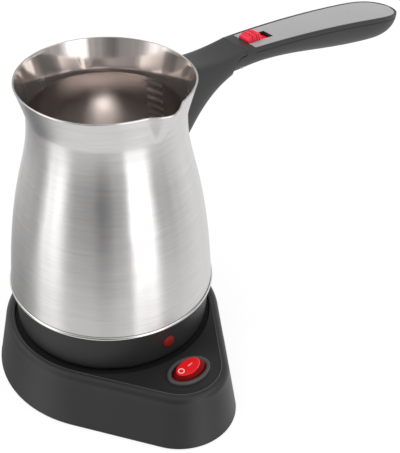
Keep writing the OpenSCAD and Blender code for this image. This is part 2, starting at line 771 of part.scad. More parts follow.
// two round ends joined by straight flanks; each level is [height, inset from the outline]
module base_form(levels) {
    flank_turn = asin((base_r - nose_r) / nose_reach);
    flank_l = nose_reach * cos(flank_turn);
    low_z = levels[0][0];
    high_z = levels[len(levels) - 1][0];
    back = concat([[0, low_z]], [for (level = levels) [base_r - level[1], level[0]]], [[0, high_z]]);
    nose = concat([[0, low_z]], [for (level = levels) [nose_r - level[1], level[0]]], [[0, high_z]]);
    rotate([0, 0, -flank_turn]) rotate_extrude(angle = 180 + 2 * flank_turn, $fn = fine) polygon(back);
    translate([0, -nose_reach, 0]) rotate([0, 0, 180 + flank_turn])
        rotate_extrude(angle = 180 - 2 * flank_turn, $fn = fine) polygon(nose);
    for (side = [0, 1]) mirror([side, 0, 0]) rotate([0, 0, -flank_turn]) rotate([90, 0, 0])
        linear_extrude(flank_l) polygon(back);
}

wall_top_z = base_h - deck_edge;
roof_z = seat_z - base_wall;
function lean(z) = base_draft * (z - pad_out) / (wall_top_z - pad_out);

floor_t = 2.4;
floor_screw_l = 8;
floor_low_z = pad_out + 0.2;
floor_top_z = floor_low_z + floor_t;
floor_screw_at = [for (side = [-1, 1]) each
    [[side * (base_r - 12) * cos(65), (base_r - 12) * sin(65)], [side * (nose_r - 11), -nose_reach - 7.5]]];
pad_at = [for (side = [-1, 1]) each
    [[side * (base_r - 11) * cos(20), (base_r - 11) * sin(20)], [side * 9, -nose_reach - nose_r * 0.6]]];
plug_screw_x = plug_r + 6.4;
plug_flange_z = roof_z - 5;
plug_flange_t = 2.2;
contact_tail = 5;
cord_hole_z = floor_top_z + cord_hole_r + 1.7;
cutout_l = rocker_l + 3.2;
cutout_w = rocker_w + 3.2;

module base_shell() {
    color("#2b2b2b") difference() {
        union() {
            difference() {
                base_form(concat([[pad_out, 0]], [for (turn = [0:15:90])
                    [wall_top_z + deck_edge * sin(turn), base_draft + deck_edge * (1 - cos(turn))]]));
                base_form([for (z = [pad_out - 1, roof_z]) [z, lean(z) + base_wall]]);
            }
            for (at = floor_screw_at) bar_z(boss_r, at[0], at[1], floor_top_z + seat_gap, roof_z + 1);
            for (side = [-1, 1]) bar_z(boss_r, side * plug_screw_x, 0, plug_flange_z + seat_gap, roof_z + 1);
        }
        bar_z(well_r, 0, 0, seat_z, base_h + 5, fine);
        bar_z(plug_r + plug_seat, 0, 0, roof_z - 1, base_h, fine);
        translate([-key_w / 2 - plug_seat, 0, roof_z - 1])
            cube([key_w + 2 * plug_seat, plug_r + key_out + plug_seat, base_h - roof_z + 1]);
        for (at = floor_screw_at) bar_z(screw_r * pilot, at[0], at[1], 0, roof_z - 4);
        for (side = [-1, 1]) bar_z(screw_r * pilot, side * plug_screw_x, 0, 0, roof_z);
        oval_plate(cutout_l, cutout_w, roof_z - 1, base_h + 1);
        bar_y(cord_hole_r, 0, cord_hole_z, base_r - 12, base_r + 5);
    }
}

module base_floor() {
    inset = base_wall + lean(floor_top_z) + seat_gap;
    color("#2b2b2b") difference() {
        base_form([for (z = [floor_low_z, floor_top_z]) [z, inset]]);
        for (at = floor_screw_at) {
            bar_z(screw_r + screw_gap, at[0], at[1], 0, 10);
            bar_z(screw_r * 2, at[0], at[1], 0, floor_low_z + 1.4);
        }
        for (at = pad_at) bar_z(pad_r + seat_gap, at[0], at[1], 0, floor_low_z + 1.2);
    }
}

module rubber_feet() {
    color("black") for (at = pad_at) bar_z(pad_r, at[0], at[1], 0, floor_low_z + 1.2 - seat_gap);
}

module floor_screws() {
    head_z = floor_low_z + 1.4 - seat_gap;
    color("slategray") for (at = floor_screw_at) {
        bar_z(screw_r * shank, at[0], at[1], head_z - eps, floor_top_z + floor_screw_l);
        bar_z(screw_r * head, at[0], at[1], head_z - 1.2, head_z);
    }
}

module base_plug() {
    top_z = seat_z + plug_h;
    low_z = plug_flange_z - plug_flange_t;
    color("#1d1d1d") difference() {
        union() {
            bar_z(plug_r, 0, 0, low_z, top_z, fine);
            translate([-key_w / 2, 0, roof_z]) cube([key_w, plug_r + key_out, top_z - roof_z - 1]);
            hull() for (side = [-1, 1]) bar_z(boss_r + 0.6, side * plug_screw_x, 0, low_z, plug_flange_z);
        }
        at_pins() bar_z(pin_r + 0.05, 0, 0, low_z - 1, top_z + 1);
        for (side = [-1, 1])
            bar_z(screw_r + screw_gap, side * plug_screw_x, 0, low_z - 1, plug_flange_z + 1);
    }
}

module plug_contacts() {
    tip_z = seat_z + plug_h + pin_h;
    color("goldenrod") at_pins() {
        bar_z(pin_r, 0, 0, plug_flange_z - plug_flange_t, tip_z - pin_r * 0.6);
        translate([0, 0, tip_z - pin_r * 0.6 - eps])
            rotate_extrude($fn = small)
                polygon([[0, 0], [pin_r, 0], [pin_r * 0.6, pin_r * 0.6], [0, pin_r * 0.6]]);
        translate([-tag_t / 2, -pin_r, plug_flange_z - plug_flange_t - contact_tail + eps])
            cube([tag_t, 2 * pin_r, contact_tail]);
    }
}

module plug_screws() {
    head_z = plug_flange_z - plug_flange_t - seat_gap;
    color("slategray") for (side = [-1, 1]) {
        bar_z(screw_r * shank, side * plug_screw_x, 0, head_z - eps, roof_z - 0.5);
        bar_z(screw_r * head, side * plug_screw_x, 0, head_z - 1.5, head_z);
    }
}

// ---- switch ---------------------------------------------------------------

rocker_z = base_h + 0.3;
rocker_under = 5;
trunnion_r = 1.2;
switch_floor_z = rocker_z - rocker_under - 2.8;
switch_body_h = 6;
switch_low_z = switch_floor_z - switch_body_h;
blade_l = 7;
blade_w = 4.8;

module oval_plate(length, width, z0, z1) {
    translate([0, -switch_y, z0]) linear_extrude(z1 - z0) polygon(oval(length / 2, width / 2));
}

module switch_housing() {
    open_l = rocker_l + 2 * run_gap;
    open_w = rocker_w + 2 * run_gap;
    edge = 0.8;
    color("gray") difference() {
        union() {
            hull() {
                oval_plate(bezel_l, bezel_w, base_h + 0.05, base_h + bezel_h - edge);
                oval_plate(bezel_l - 2 * edge, bezel_w - 2 * edge, base_h + 0.05, base_h + bezel_h);
            }
            oval_plate(cutout_l - 0.3, cutout_w - 0.3, switch_low_z, base_h + 0.5);
        }
        oval_plate(open_l, open_w, switch_floor_z, base_h + bezel_h + 1);
        bar_y(trunnion_r + pin_gap, 0, rocker_z, -switch_y - open_w / 2 - 0.9, -switch_y + open_w / 2 + 0.9);
    }
}

// rocker: turned about its trunnions below, drawn in to a dished face above
module switch_rocker() {
    half_l = rocker_l / 2;
    half_w = rocker_w / 2;
    waist_z = 0.8;
    dish = 0.7;
    color("red") translate([0, -switch_y, rocker_z]) rotate([0, -rocker_tilt, 0]) {
        intersection() {
            rotate([90, 0, 0]) rotate_extrude($fn = fine)
                polygon([for (turn = [-90:7.5:90]) [half_l * cos(turn), half_w * sin(turn)]]);
            skin([for (level = [[-rocker_under, 1], [waist_z, 1], [rocker_h, rocker_face]])
                [for (at = oval(half_l * level[1], half_w * level[1], 48)) [at[0], at[1], level[0]]]]);
            rotate([90, 0, 0]) linear_extrude(rocker_w + 2, center = true)
                polygon([[-half_l, -rocker_under], [half_l, -rocker_under], [half_l, rocker_h],
                         [0, rocker_h - dish], [-half_l, rocker_h]]);
        }
        bar_y(trunnion_r, 0, 0, -half_w - run_gap - 0.8, half_w + run_gap + 0.8);
    }
}

module switch_blades() {
    color("goldenrod") for (side = [-1, 0, 1])
        translate([side * rocker_l / 3 - tag_t / 2, -switch_y - blade_w / 2, switch_low_z - blade_l])
            cube([tag_t, blade_w, blade_l]);
}

vessel_wall();
vessel_floor();
hem_ring();
heater_plate();
heating_element();
thermal_cutout();
foot_housing();
foot_screws();
pot_socket();
socket_contacts();
indicator_lens();
indicator_lamp();
neck_strap();
handle_bracket();
bracket_screws();
hinge_pin();
grip_shell();
grip_panel();
grip_screws();
latch_button();
latch_bolt();
latch_spring();
base_shell();
base_floor();
rubber_feet();
floor_screws();
base_plug();
plug_contacts();
plug_screws();
switch_housing();
switch_rocker();
switch_blades();
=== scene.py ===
import math
import bpy
import bmesh
from mathutils import Matrix, Vector


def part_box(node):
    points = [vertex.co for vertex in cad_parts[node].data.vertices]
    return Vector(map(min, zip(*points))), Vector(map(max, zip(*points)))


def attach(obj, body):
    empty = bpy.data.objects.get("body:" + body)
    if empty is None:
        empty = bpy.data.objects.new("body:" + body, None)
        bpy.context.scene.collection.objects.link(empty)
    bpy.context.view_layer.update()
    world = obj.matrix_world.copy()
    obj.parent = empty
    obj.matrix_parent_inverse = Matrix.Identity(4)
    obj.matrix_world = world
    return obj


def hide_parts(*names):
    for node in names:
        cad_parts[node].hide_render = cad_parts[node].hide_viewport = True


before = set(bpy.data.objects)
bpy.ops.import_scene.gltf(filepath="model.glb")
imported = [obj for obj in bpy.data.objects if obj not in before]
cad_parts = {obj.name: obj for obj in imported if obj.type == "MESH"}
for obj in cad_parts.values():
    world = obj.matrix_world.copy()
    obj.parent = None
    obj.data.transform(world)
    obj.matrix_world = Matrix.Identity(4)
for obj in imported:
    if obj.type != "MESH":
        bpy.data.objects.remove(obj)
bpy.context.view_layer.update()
print("frame loaded:", len(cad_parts), "nodes")

mm = 0.001


# small helpers, all lengths in millimetres

def smoothStep(a, b, x):
    t = min(1.0, max(0.0, (x - a) / (b - a)))
    return t * t * (3 - 2 * t)


def bezier(p, n):
    out = []
    for i in range(n + 1):
        t = i / n
        u = 1 - t
        w = (u * u * u, 3 * u * u * t, 3 * u * t * t, t * t * t)
        out.append(tuple(sum(w[k] * p[k][j] for k in range(4)) for j in range(2)))
    return out


def lookUp(z, table):  # straight lines between (z, value) pairs
    if z <= table[0][0]:
        return table[0][1]
    for (z0, v0), (z1, v1) in zip(table, table[1:]):
        if z <= z1:
            return v0 + (v1 - v0) * (z - z0) / (z1 - z0)
    return table[-1][1]


def steps(a, b, n):
    return [a + (b - a) * i / n for i in range(n)]


def boxOf(node):
    low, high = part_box(node)
    return low / mm, high / mm


def buildMesh(name, points, faces, sharp=32):
    mesh = bpy.data.meshes.new(name)
    mesh.from_pydata([Vector(p) * mm for p in points], [], faces)
    obj = bpy.data.objects.new(name, mesh)
    bpy.context.scene.collection.objects.link(obj)
    tidyMesh(obj, sharp)
    return obj


def tidyMesh(obj, sharp=32):  # outward normals, smooth faces, sharp edges by angle
    bm = bmesh.new()
    bm.from_mesh(obj.data)
    bmesh.ops.remove_doubles(bm, verts=bm.verts, dist=1e-7)
    bmesh.ops.recalc_face_normals(bm, faces=bm.faces)
    for face in bm.faces:
        face.smooth = True
    limit = math.radians(sharp)
    for edge in bm.edges:
        edge.smooth = len(edge.link_faces) == 2 and edge.calc_face_angle(0) < limit
    bm.to_mesh(obj.data)
    bm.free()
    obj.data.update()


def loft(name, rings, loop=False, sharp=32):  # skin through rings of equal length
    n = len(rings[0])
    points = [p for ring in rings for p in ring]
    faces = []
    count = len(rings)
    for r in range(count if loop else count - 1):
        s = (r + 1) % count
        for c in range(n):
            d = (c + 1) % n
            faces.append((r * n + c, r * n + d, s * n + d, s * n + c))
    if not loop:
        faces.append(tuple(range(n)))
        faces.append(tuple((count - 1) * n + c for c in reversed(range(n))))
    return buildMesh(name, points, faces, sharp)


def lathe(name, profile, n=192, sharp=32, loop=True):  # profile of (radius, z) turned about Z
    turns = [2 * math.pi * i / n for i in range(n)]
    rings = [[(r * math.cos(t), r * math.sin(t), z) for t in turns] for r, z in profile]
    return loft(name, rings, loop, sharp)


def bar(name, axis, radius, centre, length, n=64):  # round bar along x, y or z
    rings = []
    for end in (-0.5, 0.5):
        ring = []
        for i in range(n):
            t = 2 * math.pi * i / n
            a, b, c = radius * math.cos(t), radius * math.sin(t), end * length
            place = {"x": (c, a, b), "y": (a, c, b), "z": (a, b, c)}[axis]
            ring.append(tuple(centre[k] + place[k] for k in range(3)))
        rings.append(ring)
    return loft(name, rings)


def block(name, low, high):
    rings = [[(low[0], low[1], z), (high[0], low[1], z), (high[0], high[1], z), (low[0], high[1], z)]
             for z in (low[2], high[2])]
    return loft(name, rings)


def combine(obj, other, operation="DIFFERENCE"):  # cut or join another mesh, then drop it
    modifier = obj.modifiers.new("combine", "BOOLEAN")
    modifier.operation = operation
    modifier.solver = "EXACT"
    modifier.object = other
    graph = bpy.context.evaluated_depsgraph_get()
    made = bpy.data.meshes.new_from_object(obj.evaluated_get(graph))
    obj.modifiers.clear()
    obj.data = made
    bpy.data.objects.remove(other)
    return obj


def place(obj, material, body, slotName, *nodes):
    obj.data.materials.clear()
    obj.data.materials.append(material)
    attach(obj, body)
    if nodes:
        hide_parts(*nodes)
    return obj


# materials

def newMaterial(name, values):
    material = bpy.data.materials.new(name)
    material.use_nodes = True
    shader = material.node_tree.nodes["Principled BSDF"]
    for key, value in values.items():
        shader.inputs[key].default_value = value
    return material, material.node_tree, shader


def link(tree, a, b):
    tree.links.new(a, b)


def addNode(tree, kind, **settings):
    node = tree.nodes.new(kind)
    for key, value in settings.items():
        setattr(node, key, value)
    return node


def feed(tree, value, slot):  # a socket takes a plain value or a link
    if isinstance(value, (int, float)):
        slot.default_value = value
    else:
        link(tree, value, slot)


def figure(tree, operation, *values):  # one step of arithmetic
    node = addNode(tree, "ShaderNodeMath", operation=operation)
    for value, slot in zip(values, node.inputs):
        feed(tree, value, slot)
    return node.outputs[0]


def remap(tree, source, fromLow, fromHigh, low=0.0, high=1.0, kind="SMOOTHSTEP"):
    node = addNode(tree, "ShaderNodeMapRange", interpolation_type=kind)
    for key, value in (("From Min", fromLow), ("From Max", fromHigh), ("To Min", low), ("To Max", high)):
        node.inputs[key].default_value = value
    link(tree, source, node.inputs["Value"])
    return node.outputs["Result"]


def spread(tree, source, low, high):  # a 0..1 value remapped to low..high
    return remap(tree, source, 0.0, 1.0, low, high, "LINEAR")


def noise(tree, where, scale, detail, roughness=0.5, dimensions="3D"):
    node = addNode(tree, "ShaderNodeTexNoise", noise_dimensions=dimensions)
    for key, value in (("Scale", scale), ("Detail", detail), ("Roughness", roughness)):
        node.inputs[key].default_value = value
    link(tree, where, node.inputs["W" if dimensions == "1D" else "Vector"])
    return node.outputs["Fac"]


def tint(tree, source, colour, vary, start=0.0, end=1.0):  # from a little darker to a little lighter
    node = tree.nodes.new("ShaderNodeValToRGB")
    for element, position, share in zip(node.color_ramp.elements, (start, end), (1 - vary, 1 + vary)):
        element.position = position
        element.color = tuple(c * share for c in colour) + (1,)
    link(tree, source, node.inputs[0])
    return node.outputs[0]


def bump(tree, height, strength, distance, under=None):  # under is the normal it adds to
    node = tree.nodes.new("ShaderNodeBump")
    node.inputs["Strength"].default_value = strength
    node.inputs["Distance"].default_value = distance
    link(tree, height, node.inputs["Height"])
    if under:
        link(tree, under, node.inputs["Normal"])
    return node.outputs[0]


def objectPoint(tree):
    return tree.nodes.new("ShaderNodeTexCoord").outputs["Object"]


def splitPoint(tree, point):
    node = tree.nodes.new("ShaderNodeSeparateXYZ")
    link(tree, point, node.inputs[0])
    return node.outputs


def roundPoint(tree, around, along):  # angle about Z and height, each scaled
    at = splitPoint(tree, objectPoint(tree))
    joined = tree.nodes.new("ShaderNodeCombineXYZ")
    angle = figure(tree, "ARCTAN2", at["Y"], at["X"])
    link(tree, figure(tree, "MULTIPLY", angle, around), joined.inputs["X"])
    link(tree, figure(tree, "MULTIPLY", at["Z"], along), joined.inputs["Y"])
    return joined.outputs[0]


# around and along stretch the fine lines and the wide bands, swell is the sheet's slow unevenness
brush = {"around": 3.0, "along": 9000.0, "detail": 5.0, "rough": 0.65, "bandAround": 1.3,
         "bandAlong": 500.0, "bandDetail": 2.0, "lineShare": 0.7, "bandShare": 0.3, "high": 0.00005,
         "swell": 48.0, "swellDetail": 1.5}


def brushedSteel(name, colour, rough, streak, aniso=0.85, depth=0.05, vary=0.03, wave=0.0):
    material, tree, shader = newMaterial(name, {"Metallic": 1.0, "Anisotropic": aniso,
                                                "Anisotropic Rotation": 0.25})
    tangent = addNode(tree, "ShaderNodeTangent", direction_type="RADIAL", axis="Z")
    link(tree, tangent.outputs[0], shader.inputs["Tangent"])
    where = roundPoint(tree, brush["around"], brush["along"])
    lines = noise(tree, where, 1.0, brush["detail"], brush["rough"], "2D")
    where = roundPoint(tree, brush["bandAround"], brush["bandAlong"])
    wide = noise(tree, where, 1.0, brush["bandDetail"], dimensions="2D")
    both = figure(tree, "MULTIPLY_ADD", lines, brush["lineShare"],
                  figure(tree, "MULTIPLY", wide, brush["bandShare"]))
    link(tree, spread(tree, both, rough - streak, rough + streak), shader.inputs["Roughness"])
    link(tree, tint(tree, both, colour, vary, 0.25, 0.75), shader.inputs["Base Color"])
    under = None
    if wave:
        swell = noise(tree, objectPoint(tree), brush["swell"], brush["swellDetail"])
        under = bump(tree, swell, 1.0, wave)
    link(tree, bump(tree, lines, depth, brush["high"], under), shader.inputs["Normal"])
    return material


skin = {"detail": 3.0, "cloud": 40.0, "cloudDetail": 2.0, "uneven": 0.07, "high": 0.00004}


def grained(name, colour, rough, grain=2600.0, depth=0.25, vary=0.12, metallic=0.0, gloss=0.5):
    material, tree, shader = newMaterial(name, {"Metallic": metallic, "Specular IOR Level": gloss})
    where = objectPoint(tree)
    fine = noise(tree, where, grain, skin["detail"])
    cloud = noise(tree, where, skin["cloud"], skin["cloudDetail"])
    link(tree, tint(tree, cloud, colour, vary), shader.inputs["Base Color"])
    link(tree, spread(tree, fine, rough - skin["uneven"], rough + skin["uneven"]), shader.inputs["Roughness"])
    link(tree, bump(tree, fine, depth, skin["high"]), shader.inputs["Normal"])
    return material


# steels: colour, roughness, its streaks, anisotropy, depth of the lines, colour change, swell in metres
potSteel = brushedSteel("potSteel", (0.80, 0.787, 0.783), 0.24, 0.05, 0.85, 0.12, 0.1, 0.0003)
# painted shade and painted reflection inside the pot: darker, browner copies of the outside steel, the deep
# one below the neck darkest
insideSteelPaintedShade = brushedSteel("insideSteelPaintedShade", (0.72, 0.66, 0.63), 0.085, 0.02, 0.4, 0.02)
deepSteelPaintedShade = brushedSteel("deepSteelPaintedShade", (0.45, 0.395, 0.37), 0.2, 0.04, 0.6, 0.03)
for material in (insideSteelPaintedShade, deepSteelPaintedShade):
    material.node_tree.nodes["Principled BSDF"].inputs["Metallic"].default_value = 0.93
hemSteel = brushedSteel("hemSteel", (0.84, 0.83, 0.82), 0.2, 0.04, 0.5, 0.02)

# the rest: colour, roughness, grain, depth of the grain, colour change, metallic
plainSteel = grained("plainSteel", (0.62, 0.62, 0.62), 0.3, 1800.0, 0.1, 0.05, 1.0)
dullSteel = grained("dullSteel", (0.72, 0.7, 0.69), 0.5, 1800.0, 0.1, 0.05, 0.6)
basePlastic = grained("basePlastic", (0.016, 0.016, 0.0165), 0.42)
footPlastic = grained("footPlastic", (0.017, 0.017, 0.0175), 0.44, gloss=0.42)
handlePlastic = grained("handlePlastic", (0.031, 0.031, 0.0315), 0.42, gloss=0.4)
socketPlastic = grained("socketPlastic", (0.012, 0.012, 0.013), 0.5)
panelFinish = grained("panelFinish", (0.415, 0.415, 0.42), 0.42, 5200.0, 0.12, 0.04, 0.3)
bezelPlastic = grained("bezelPlastic", (0.055, 0.056, 0.056), 0.38)
redPlastic = grained("redPlastic", (0.66, 0.006, 0.01), 0.36, 1800.0, 0.06, 0.05, gloss=0.3)
# painted shade and painted highlight on the rocker: a dark and a light copy of the red plastic for its sides
# and its raised edge
redPaintedShade = grained("redPaintedShade", (0.16, 0.0012, 0.002), 0.5, 1800.0, 0.06, 0.05, gloss=0.12)
redPaintedHighlight = grained("redPaintedHighlight", (0.7, 0.05, 0.06), 0.32, 1800.0, 0.06, 0.05)
buttonRed = grained("buttonRed", (0.95, 0.02, 0.055), 0.38, 1800.0, 0.06, 0.05)
buttonShade = grained("buttonShade", (0.42, 0.007, 0.016), 0.45, 1800.0, 0.06, 0.05)
lensPlastic = grained("lensPlastic", (0.165, 0.009, 0.003), 0.42, 900.0, 0.04, 0.1, gloss=0.2)
lampGlass = grained("lampGlass", (0.8, 0.35, 0.1), 0.1, 700.0, 0.05, 0.1)
castAluminium = grained("castAluminium", (0.6, 0.61, 0.62), 0.45, 1500.0, 0.4, 0.08, 1.0)
elementSteel = grained("elementSteel", (0.2, 0.2, 0.2), 0.5, 1500.0, 0.3, 0.15, 0.8)
ceramic = grained("ceramic", (0.75, 0.74, 0.7), 0.35, 900.0, 0.1, 0.04)
brass = grained("brass", (0.78, 0.56, 0.25), 0.28, 1500.0, 0.1, 0.06, 1.0)
rubber = grained("rubber", (0.012, 0.012, 0.012), 0.75, 1500.0, 0.4, 0.2)
markPaint = grained("markPaint", (0.8, 0.66, 0.64), 0.5, 1500.0, 0.1, 0.04)
markFaint = grained("markFaint", (0.78, 0.36, 0.36), 0.5, 1500.0, 0.1, 0.04)
# painted highlight: a light grey for the strip along the deck's edge
edgePaintedHighlight = grained("edgePaintedHighlight", (0.08, 0.08, 0.081), 0.3, 2600.0, 0.1, 0.1)
wellShade = grained("wellShade", (0.006, 0.006, 0.006), 0.7)
print("materials made")


# pot body: double wall, flared mouth and pressed spout

wallLow, wallHigh = boxOf("vessel_wall")
pot = {"low": wallLow.z, "rim": wallHigh.z, "rimR": 42.0, "bodyR": 51.4, "neckR": 37.3, "flare": 16.8,
       "steel": 0.9, "hemDrop": 0.7, "bellyIn": 4, "bellyUp": 65.6, "waistDown": 27, "flareOut": 1.3,
       "flareUp": 6.1}
pot["neck"] = pot["rim"] - pot["flare"]
hemZ = pot["low"] - pot["hemDrop"]

side = bezier([(pot["bodyR"], pot["low"]), (pot["bodyR"] - pot["bellyIn"], hemZ + pot["bellyUp"]),
               (pot["neckR"], pot["neck"] - pot["waistDown"]), (pot["neckR"], pot["neck"])], 240)
side += bezier([(pot["neckR"], pot["neck"]), (pot["neckR"], pot["neck"] + 2),
                (pot["neckR"] + pot["flareOut"], pot["neck"] + pot["flareUp"]), (pot["rimR"], pot["rim"])],
               120)[1:]
sideTable = [(z, r) for r, z in side]


# turn and swing in degrees: where the spout points, and how far its fold leans as it opens
spout = {"turn": 3.4, "swing": 1.7, "swingShare": 0.4, "half": 14.5, "open": 0.4, "reach": 44.75,
         "drop": 16.5, "rise": 0.85, "crease": 1.5, "creaseRise": 1.2, "creaseFrom": 20, "creaseTo": 60,
         "fold": 1.35, "soft": 0.1, "fade": 24}
spout["low"] = pot["rim"] - spout["drop"]


def spoutHalf(z):  # half the fold's width, in degrees
    if z < spout["low"]:
        return 1.0 + (spout["half"] - 1.0) * smoothStep(0, spout["fade"], spout["low"] - z)
    return max(1.0, spout["half"] * ((z - spout["low"]) / spout["drop"]) ** spout["open"])


def spoutTurn(z):  # the fold leans towards the handle as it opens
    share = (z - pot["rim"] + spout["drop"]) / spout["drop"]
    return spout["turn"] + spout["swing"] * min(1.0, max(0.0, share / spout["swingShare"]))


def wallRadius(turn, z):  # turn in degrees from -Y towards +X
    base = lookUp(z, sideTable)
    if z <= spout["low"]:
        return base
    share = (z - spout["low"]) / spout["drop"]
    off = abs(turn - spoutTurn(z))
    beside = 1 - smoothStep(spout["creaseFrom"], spout["creaseTo"], off)
    crease = base - spout["crease"] * share ** spout["creaseRise"] * beside
    ridge = pot["neckR"] + (spout["reach"] - pot["neckR"]) * share ** spout["rise"]
    fold = 1 - (off / spoutHalf(z)) ** spout["fold"]
    fold = spout["soft"] * math.log1p(math.exp(max(-30, fold / spout["soft"])))
    return crease + max(0, ridge - crease) * fold


def wallRing(z, inset, dent=None):
    half = spoutHalf(z) * 1.3
    middle = spoutTurn(z)
    turns = [middle + half * (i / 20 - 1) for i in range(40)]
    rest = 360 - 2 * half
    turns += [middle + half + rest * i / 160 for i in range(160)]
    ring = []
    for turn in turns:
        turn = (turn + 180) % 360 - 180
        r = wallRadius(turn, z) - inset
        if dent:
            r -= dent(turn, z)
        a = math.radians(turn)
        ring.append((r * math.sin(a), -r * math.cos(a), z))
    return ring


# level lines on the inside, by the handle: heights from the top one down, ends in degrees from -Y
marks = {"top": 147.2, "pitch": 4.4, "count": 6, "from": 96.5, "to": 114.0, "depth": 0.08, "half": 1.1,
         "ends": 2, "grey": (0.82, 0.8, 0.79, 1), "greyShare": 0.36, "rough": 0.42, "roughShare": 0.6}


def levelMark(turn, z):  # how deep they are pressed in
    across = smoothStep(marks["from"] - 1, marks["from"] + 1, turn) * \
        (1 - smoothStep(marks["to"] - 1, marks["to"] + 1, turn))
    if across <= 0:
        return 0
    heights = [marks["top"] - marks["pitch"] * i for i in range(marks["count"])]
    near = max(0.0, *[1 - abs(z - h) / marks["half"] for h in heights])
    return marks["depth"] * across * smoothStep(0, 1, near)


def dullLines(material):  # their duller finish
    tree = material.node_tree
    shader = tree.nodes["Principled BSDF"]
    at = splitPoint(tree, roundPoint(tree, 1.0, 1000.0))
    turn, z = at["X"], at["Y"]  # radians from +X, millimetres
    phase = figure(tree, "MULTIPLY", figure(tree, "SUBTRACT", z, marks["top"]), 2 * math.pi / marks["pitch"])
    mask = remap(tree, figure(tree, "COSINE", phase), -0.7, 1.0)
    start, end = marks["from"] - 90, marks["to"] - 90
    low = marks["top"] - marks["pitch"] * (marks["count"] - 0.5)
    high = marks["top"] + marks["pitch"] / 2
    for source, a, b in ((turn, math.radians(start), math.radians(start + marks["ends"])),
                         (turn, math.radians(end), math.radians(end - marks["ends"])),
                         (z, low - 0.1, low + 0.1), (z, high + 0.1, high - 0.1)):
        mask = figure(tree, "MULTIPLY", mask, remap(tree, source, a, b))
    changes = (("Roughness", "FLOAT", (2, 3, 0), marks["rough"], marks["roughShare"]),
               ("Base Color", "RGBA", (6, 7, 2), marks["grey"], marks["greyShare"]))
    for key, kind, slots, target, share in changes:
        mix = addNode(tree, "ShaderNodeMix", data_type=kind)
        link(tree, shader.inputs[key].links[0].from_socket, mix.inputs[slots[0]])
        mix.inputs[slots[1]].default_value = target
        link(tree, figure(tree, "MULTIPLY", mask, share), mix.inputs[0])
        link(tree, mix.outputs[slots[2]], shader.inputs[key])


rim = pot["rim"]
outerZ = steps(pot["low"], 120, 26) + steps(120, 147, 20)  # finer where the spout's fold starts
outerZ += steps(147, 153, 16) + steps(153, rim - 0.4, 20)
innerZ = steps(rim - 0.4, 155, 18) + steps(155, 126, 86) + steps(126, pot["low"], 26)
wall = [wallRing(z, 0) for z in outerZ]
for i in range(9):
    t = math.pi * i / 8
    edge = pot["steel"] / 2
    wall.append([(p[0], p[1], rim - edge + edge * math.sin(t)) for p in
                 wallRing(rim - 0.2, edge * (1 - math.cos(t)))])
wall += [wallRing(z, pot["steel"], levelMark) for z in innerZ[1:]]
wall.append(wallRing(pot["low"], pot["steel"]))
potWall = place(loft("potWall", wall, True, 38), potSteel, "pot", "pot_steel", "vessel_wall")
potWall.data.materials.append(insideSteelPaintedShade)
potWall.data.materials.append(deepSteelPaintedShade)
dullLines(deepSteelPaintedShade)
# inner faces take the painted-shade copies: the flare above the neck, the darker one below it
for face in potWall.data.polygons:
    if face.normal.x * face.center.x + face.normal.y * face.center.y < 0:
        face.material_index = 1 if face.center.z / mm > pot["neck"] else 2

hem = {"out": 52.1, "in": 50.3, "seat": 51.5, "low": hemZ, "high": hemZ + 1.9, "roll": 0.9, "sheet": 0.6}
middle = (hem["low"] + hem["high"]) / 2
bead = [(hem["in"], hem["low"]), (hem["out"] - hem["sheet"], hem["low"])]
bead += [(hem["out"] - hem["roll"] + hem["roll"] * math.cos(a), middle + 0.95 * math.sin(a))
         for a in [math.radians(d) for d in range(-70, 71, 14)]]
bead += [(hem["out"] - hem["sheet"], hem["high"]), (hem["seat"], hem["high"]),
         (hem["seat"], hem["low"] + hem["sheet"]), (hem["in"], hem["low"] + hem["sheet"])]
place(lathe("hemBead", bead, 192, 50), hemSteel, "pot", "hem_steel", "hem_ring")
print("pot body made")


# pot foot

footLow = boxOf("foot_housing")[0]
foot = {"low": footLow.z, "top": hemZ, "topR": 50.6, "lowR": 49.3, "edge": 4.4, "wall": 2.2, "spigot": 2.6,
        "spigotR": 50.2, "socketR": 15.6, "orbit": 34.0, "screwR": 3.3, "screws": (90, 210, 330)}
under = [(foot["socketR"], foot["low"] + foot["wall"]), (foot["socketR"], foot["low"])]
under += [(foot["lowR"] - foot["edge"] + foot["edge"] * math.sin(math.radians(d)),
           foot["low"] + foot["edge"] * (1 - math.cos(math.radians(d)))) for d in range(0, 91, 6)]
under += [(foot["topR"] - 0.15, foot["top"] - 0.3), (foot["topR"] - 0.4, foot["top"]),
          (foot["spigotR"], foot["top"]), (foot["spigotR"], foot["top"] + foot["spigot"]),
          (foot["topR"] - foot["wall"], foot["top"] + foot["spigot"]),
          (foot["lowR"] - foot["wall"], foot["low"] + 7), (foot["lowR"] - 7, foot["low"] + foot["wall"])]
footPiece = lathe("potFoot", under, 192)
lensLow, lensHigh = boxOf("indicator_lens")
lens = {"at": (lensLow + lensHigh) / 2, "r": (lensHigh.z - lensLow.z) / 2 - 0.3, "play": 0.1, "bulge": 0.95,
        "behind": 3.5, "setBack": 1.0}
lensTurn = math.atan2(lens["at"].x, -lens["at"].y)
lensHole = bar("hole", "y", lens["r"] + lens["play"], (0, -49, lens["at"].z), 12)
lensHole.data.transform(Matrix.Rotation(lensTurn, 4, "Z"))
combine(footPiece, lensHole)
for turn in foot["screws"]:
    a = math.radians(turn)
    at = (foot["orbit"] * math.cos(a), foot["orbit"] * math.sin(a), foot["low"])
    combine(footPiece, bar("recess", "z", foot["screwR"], at, 6))
tidyMesh(footPiece)
place(footPiece, footPlastic, "pot", "base_plastic", "foot_housing")

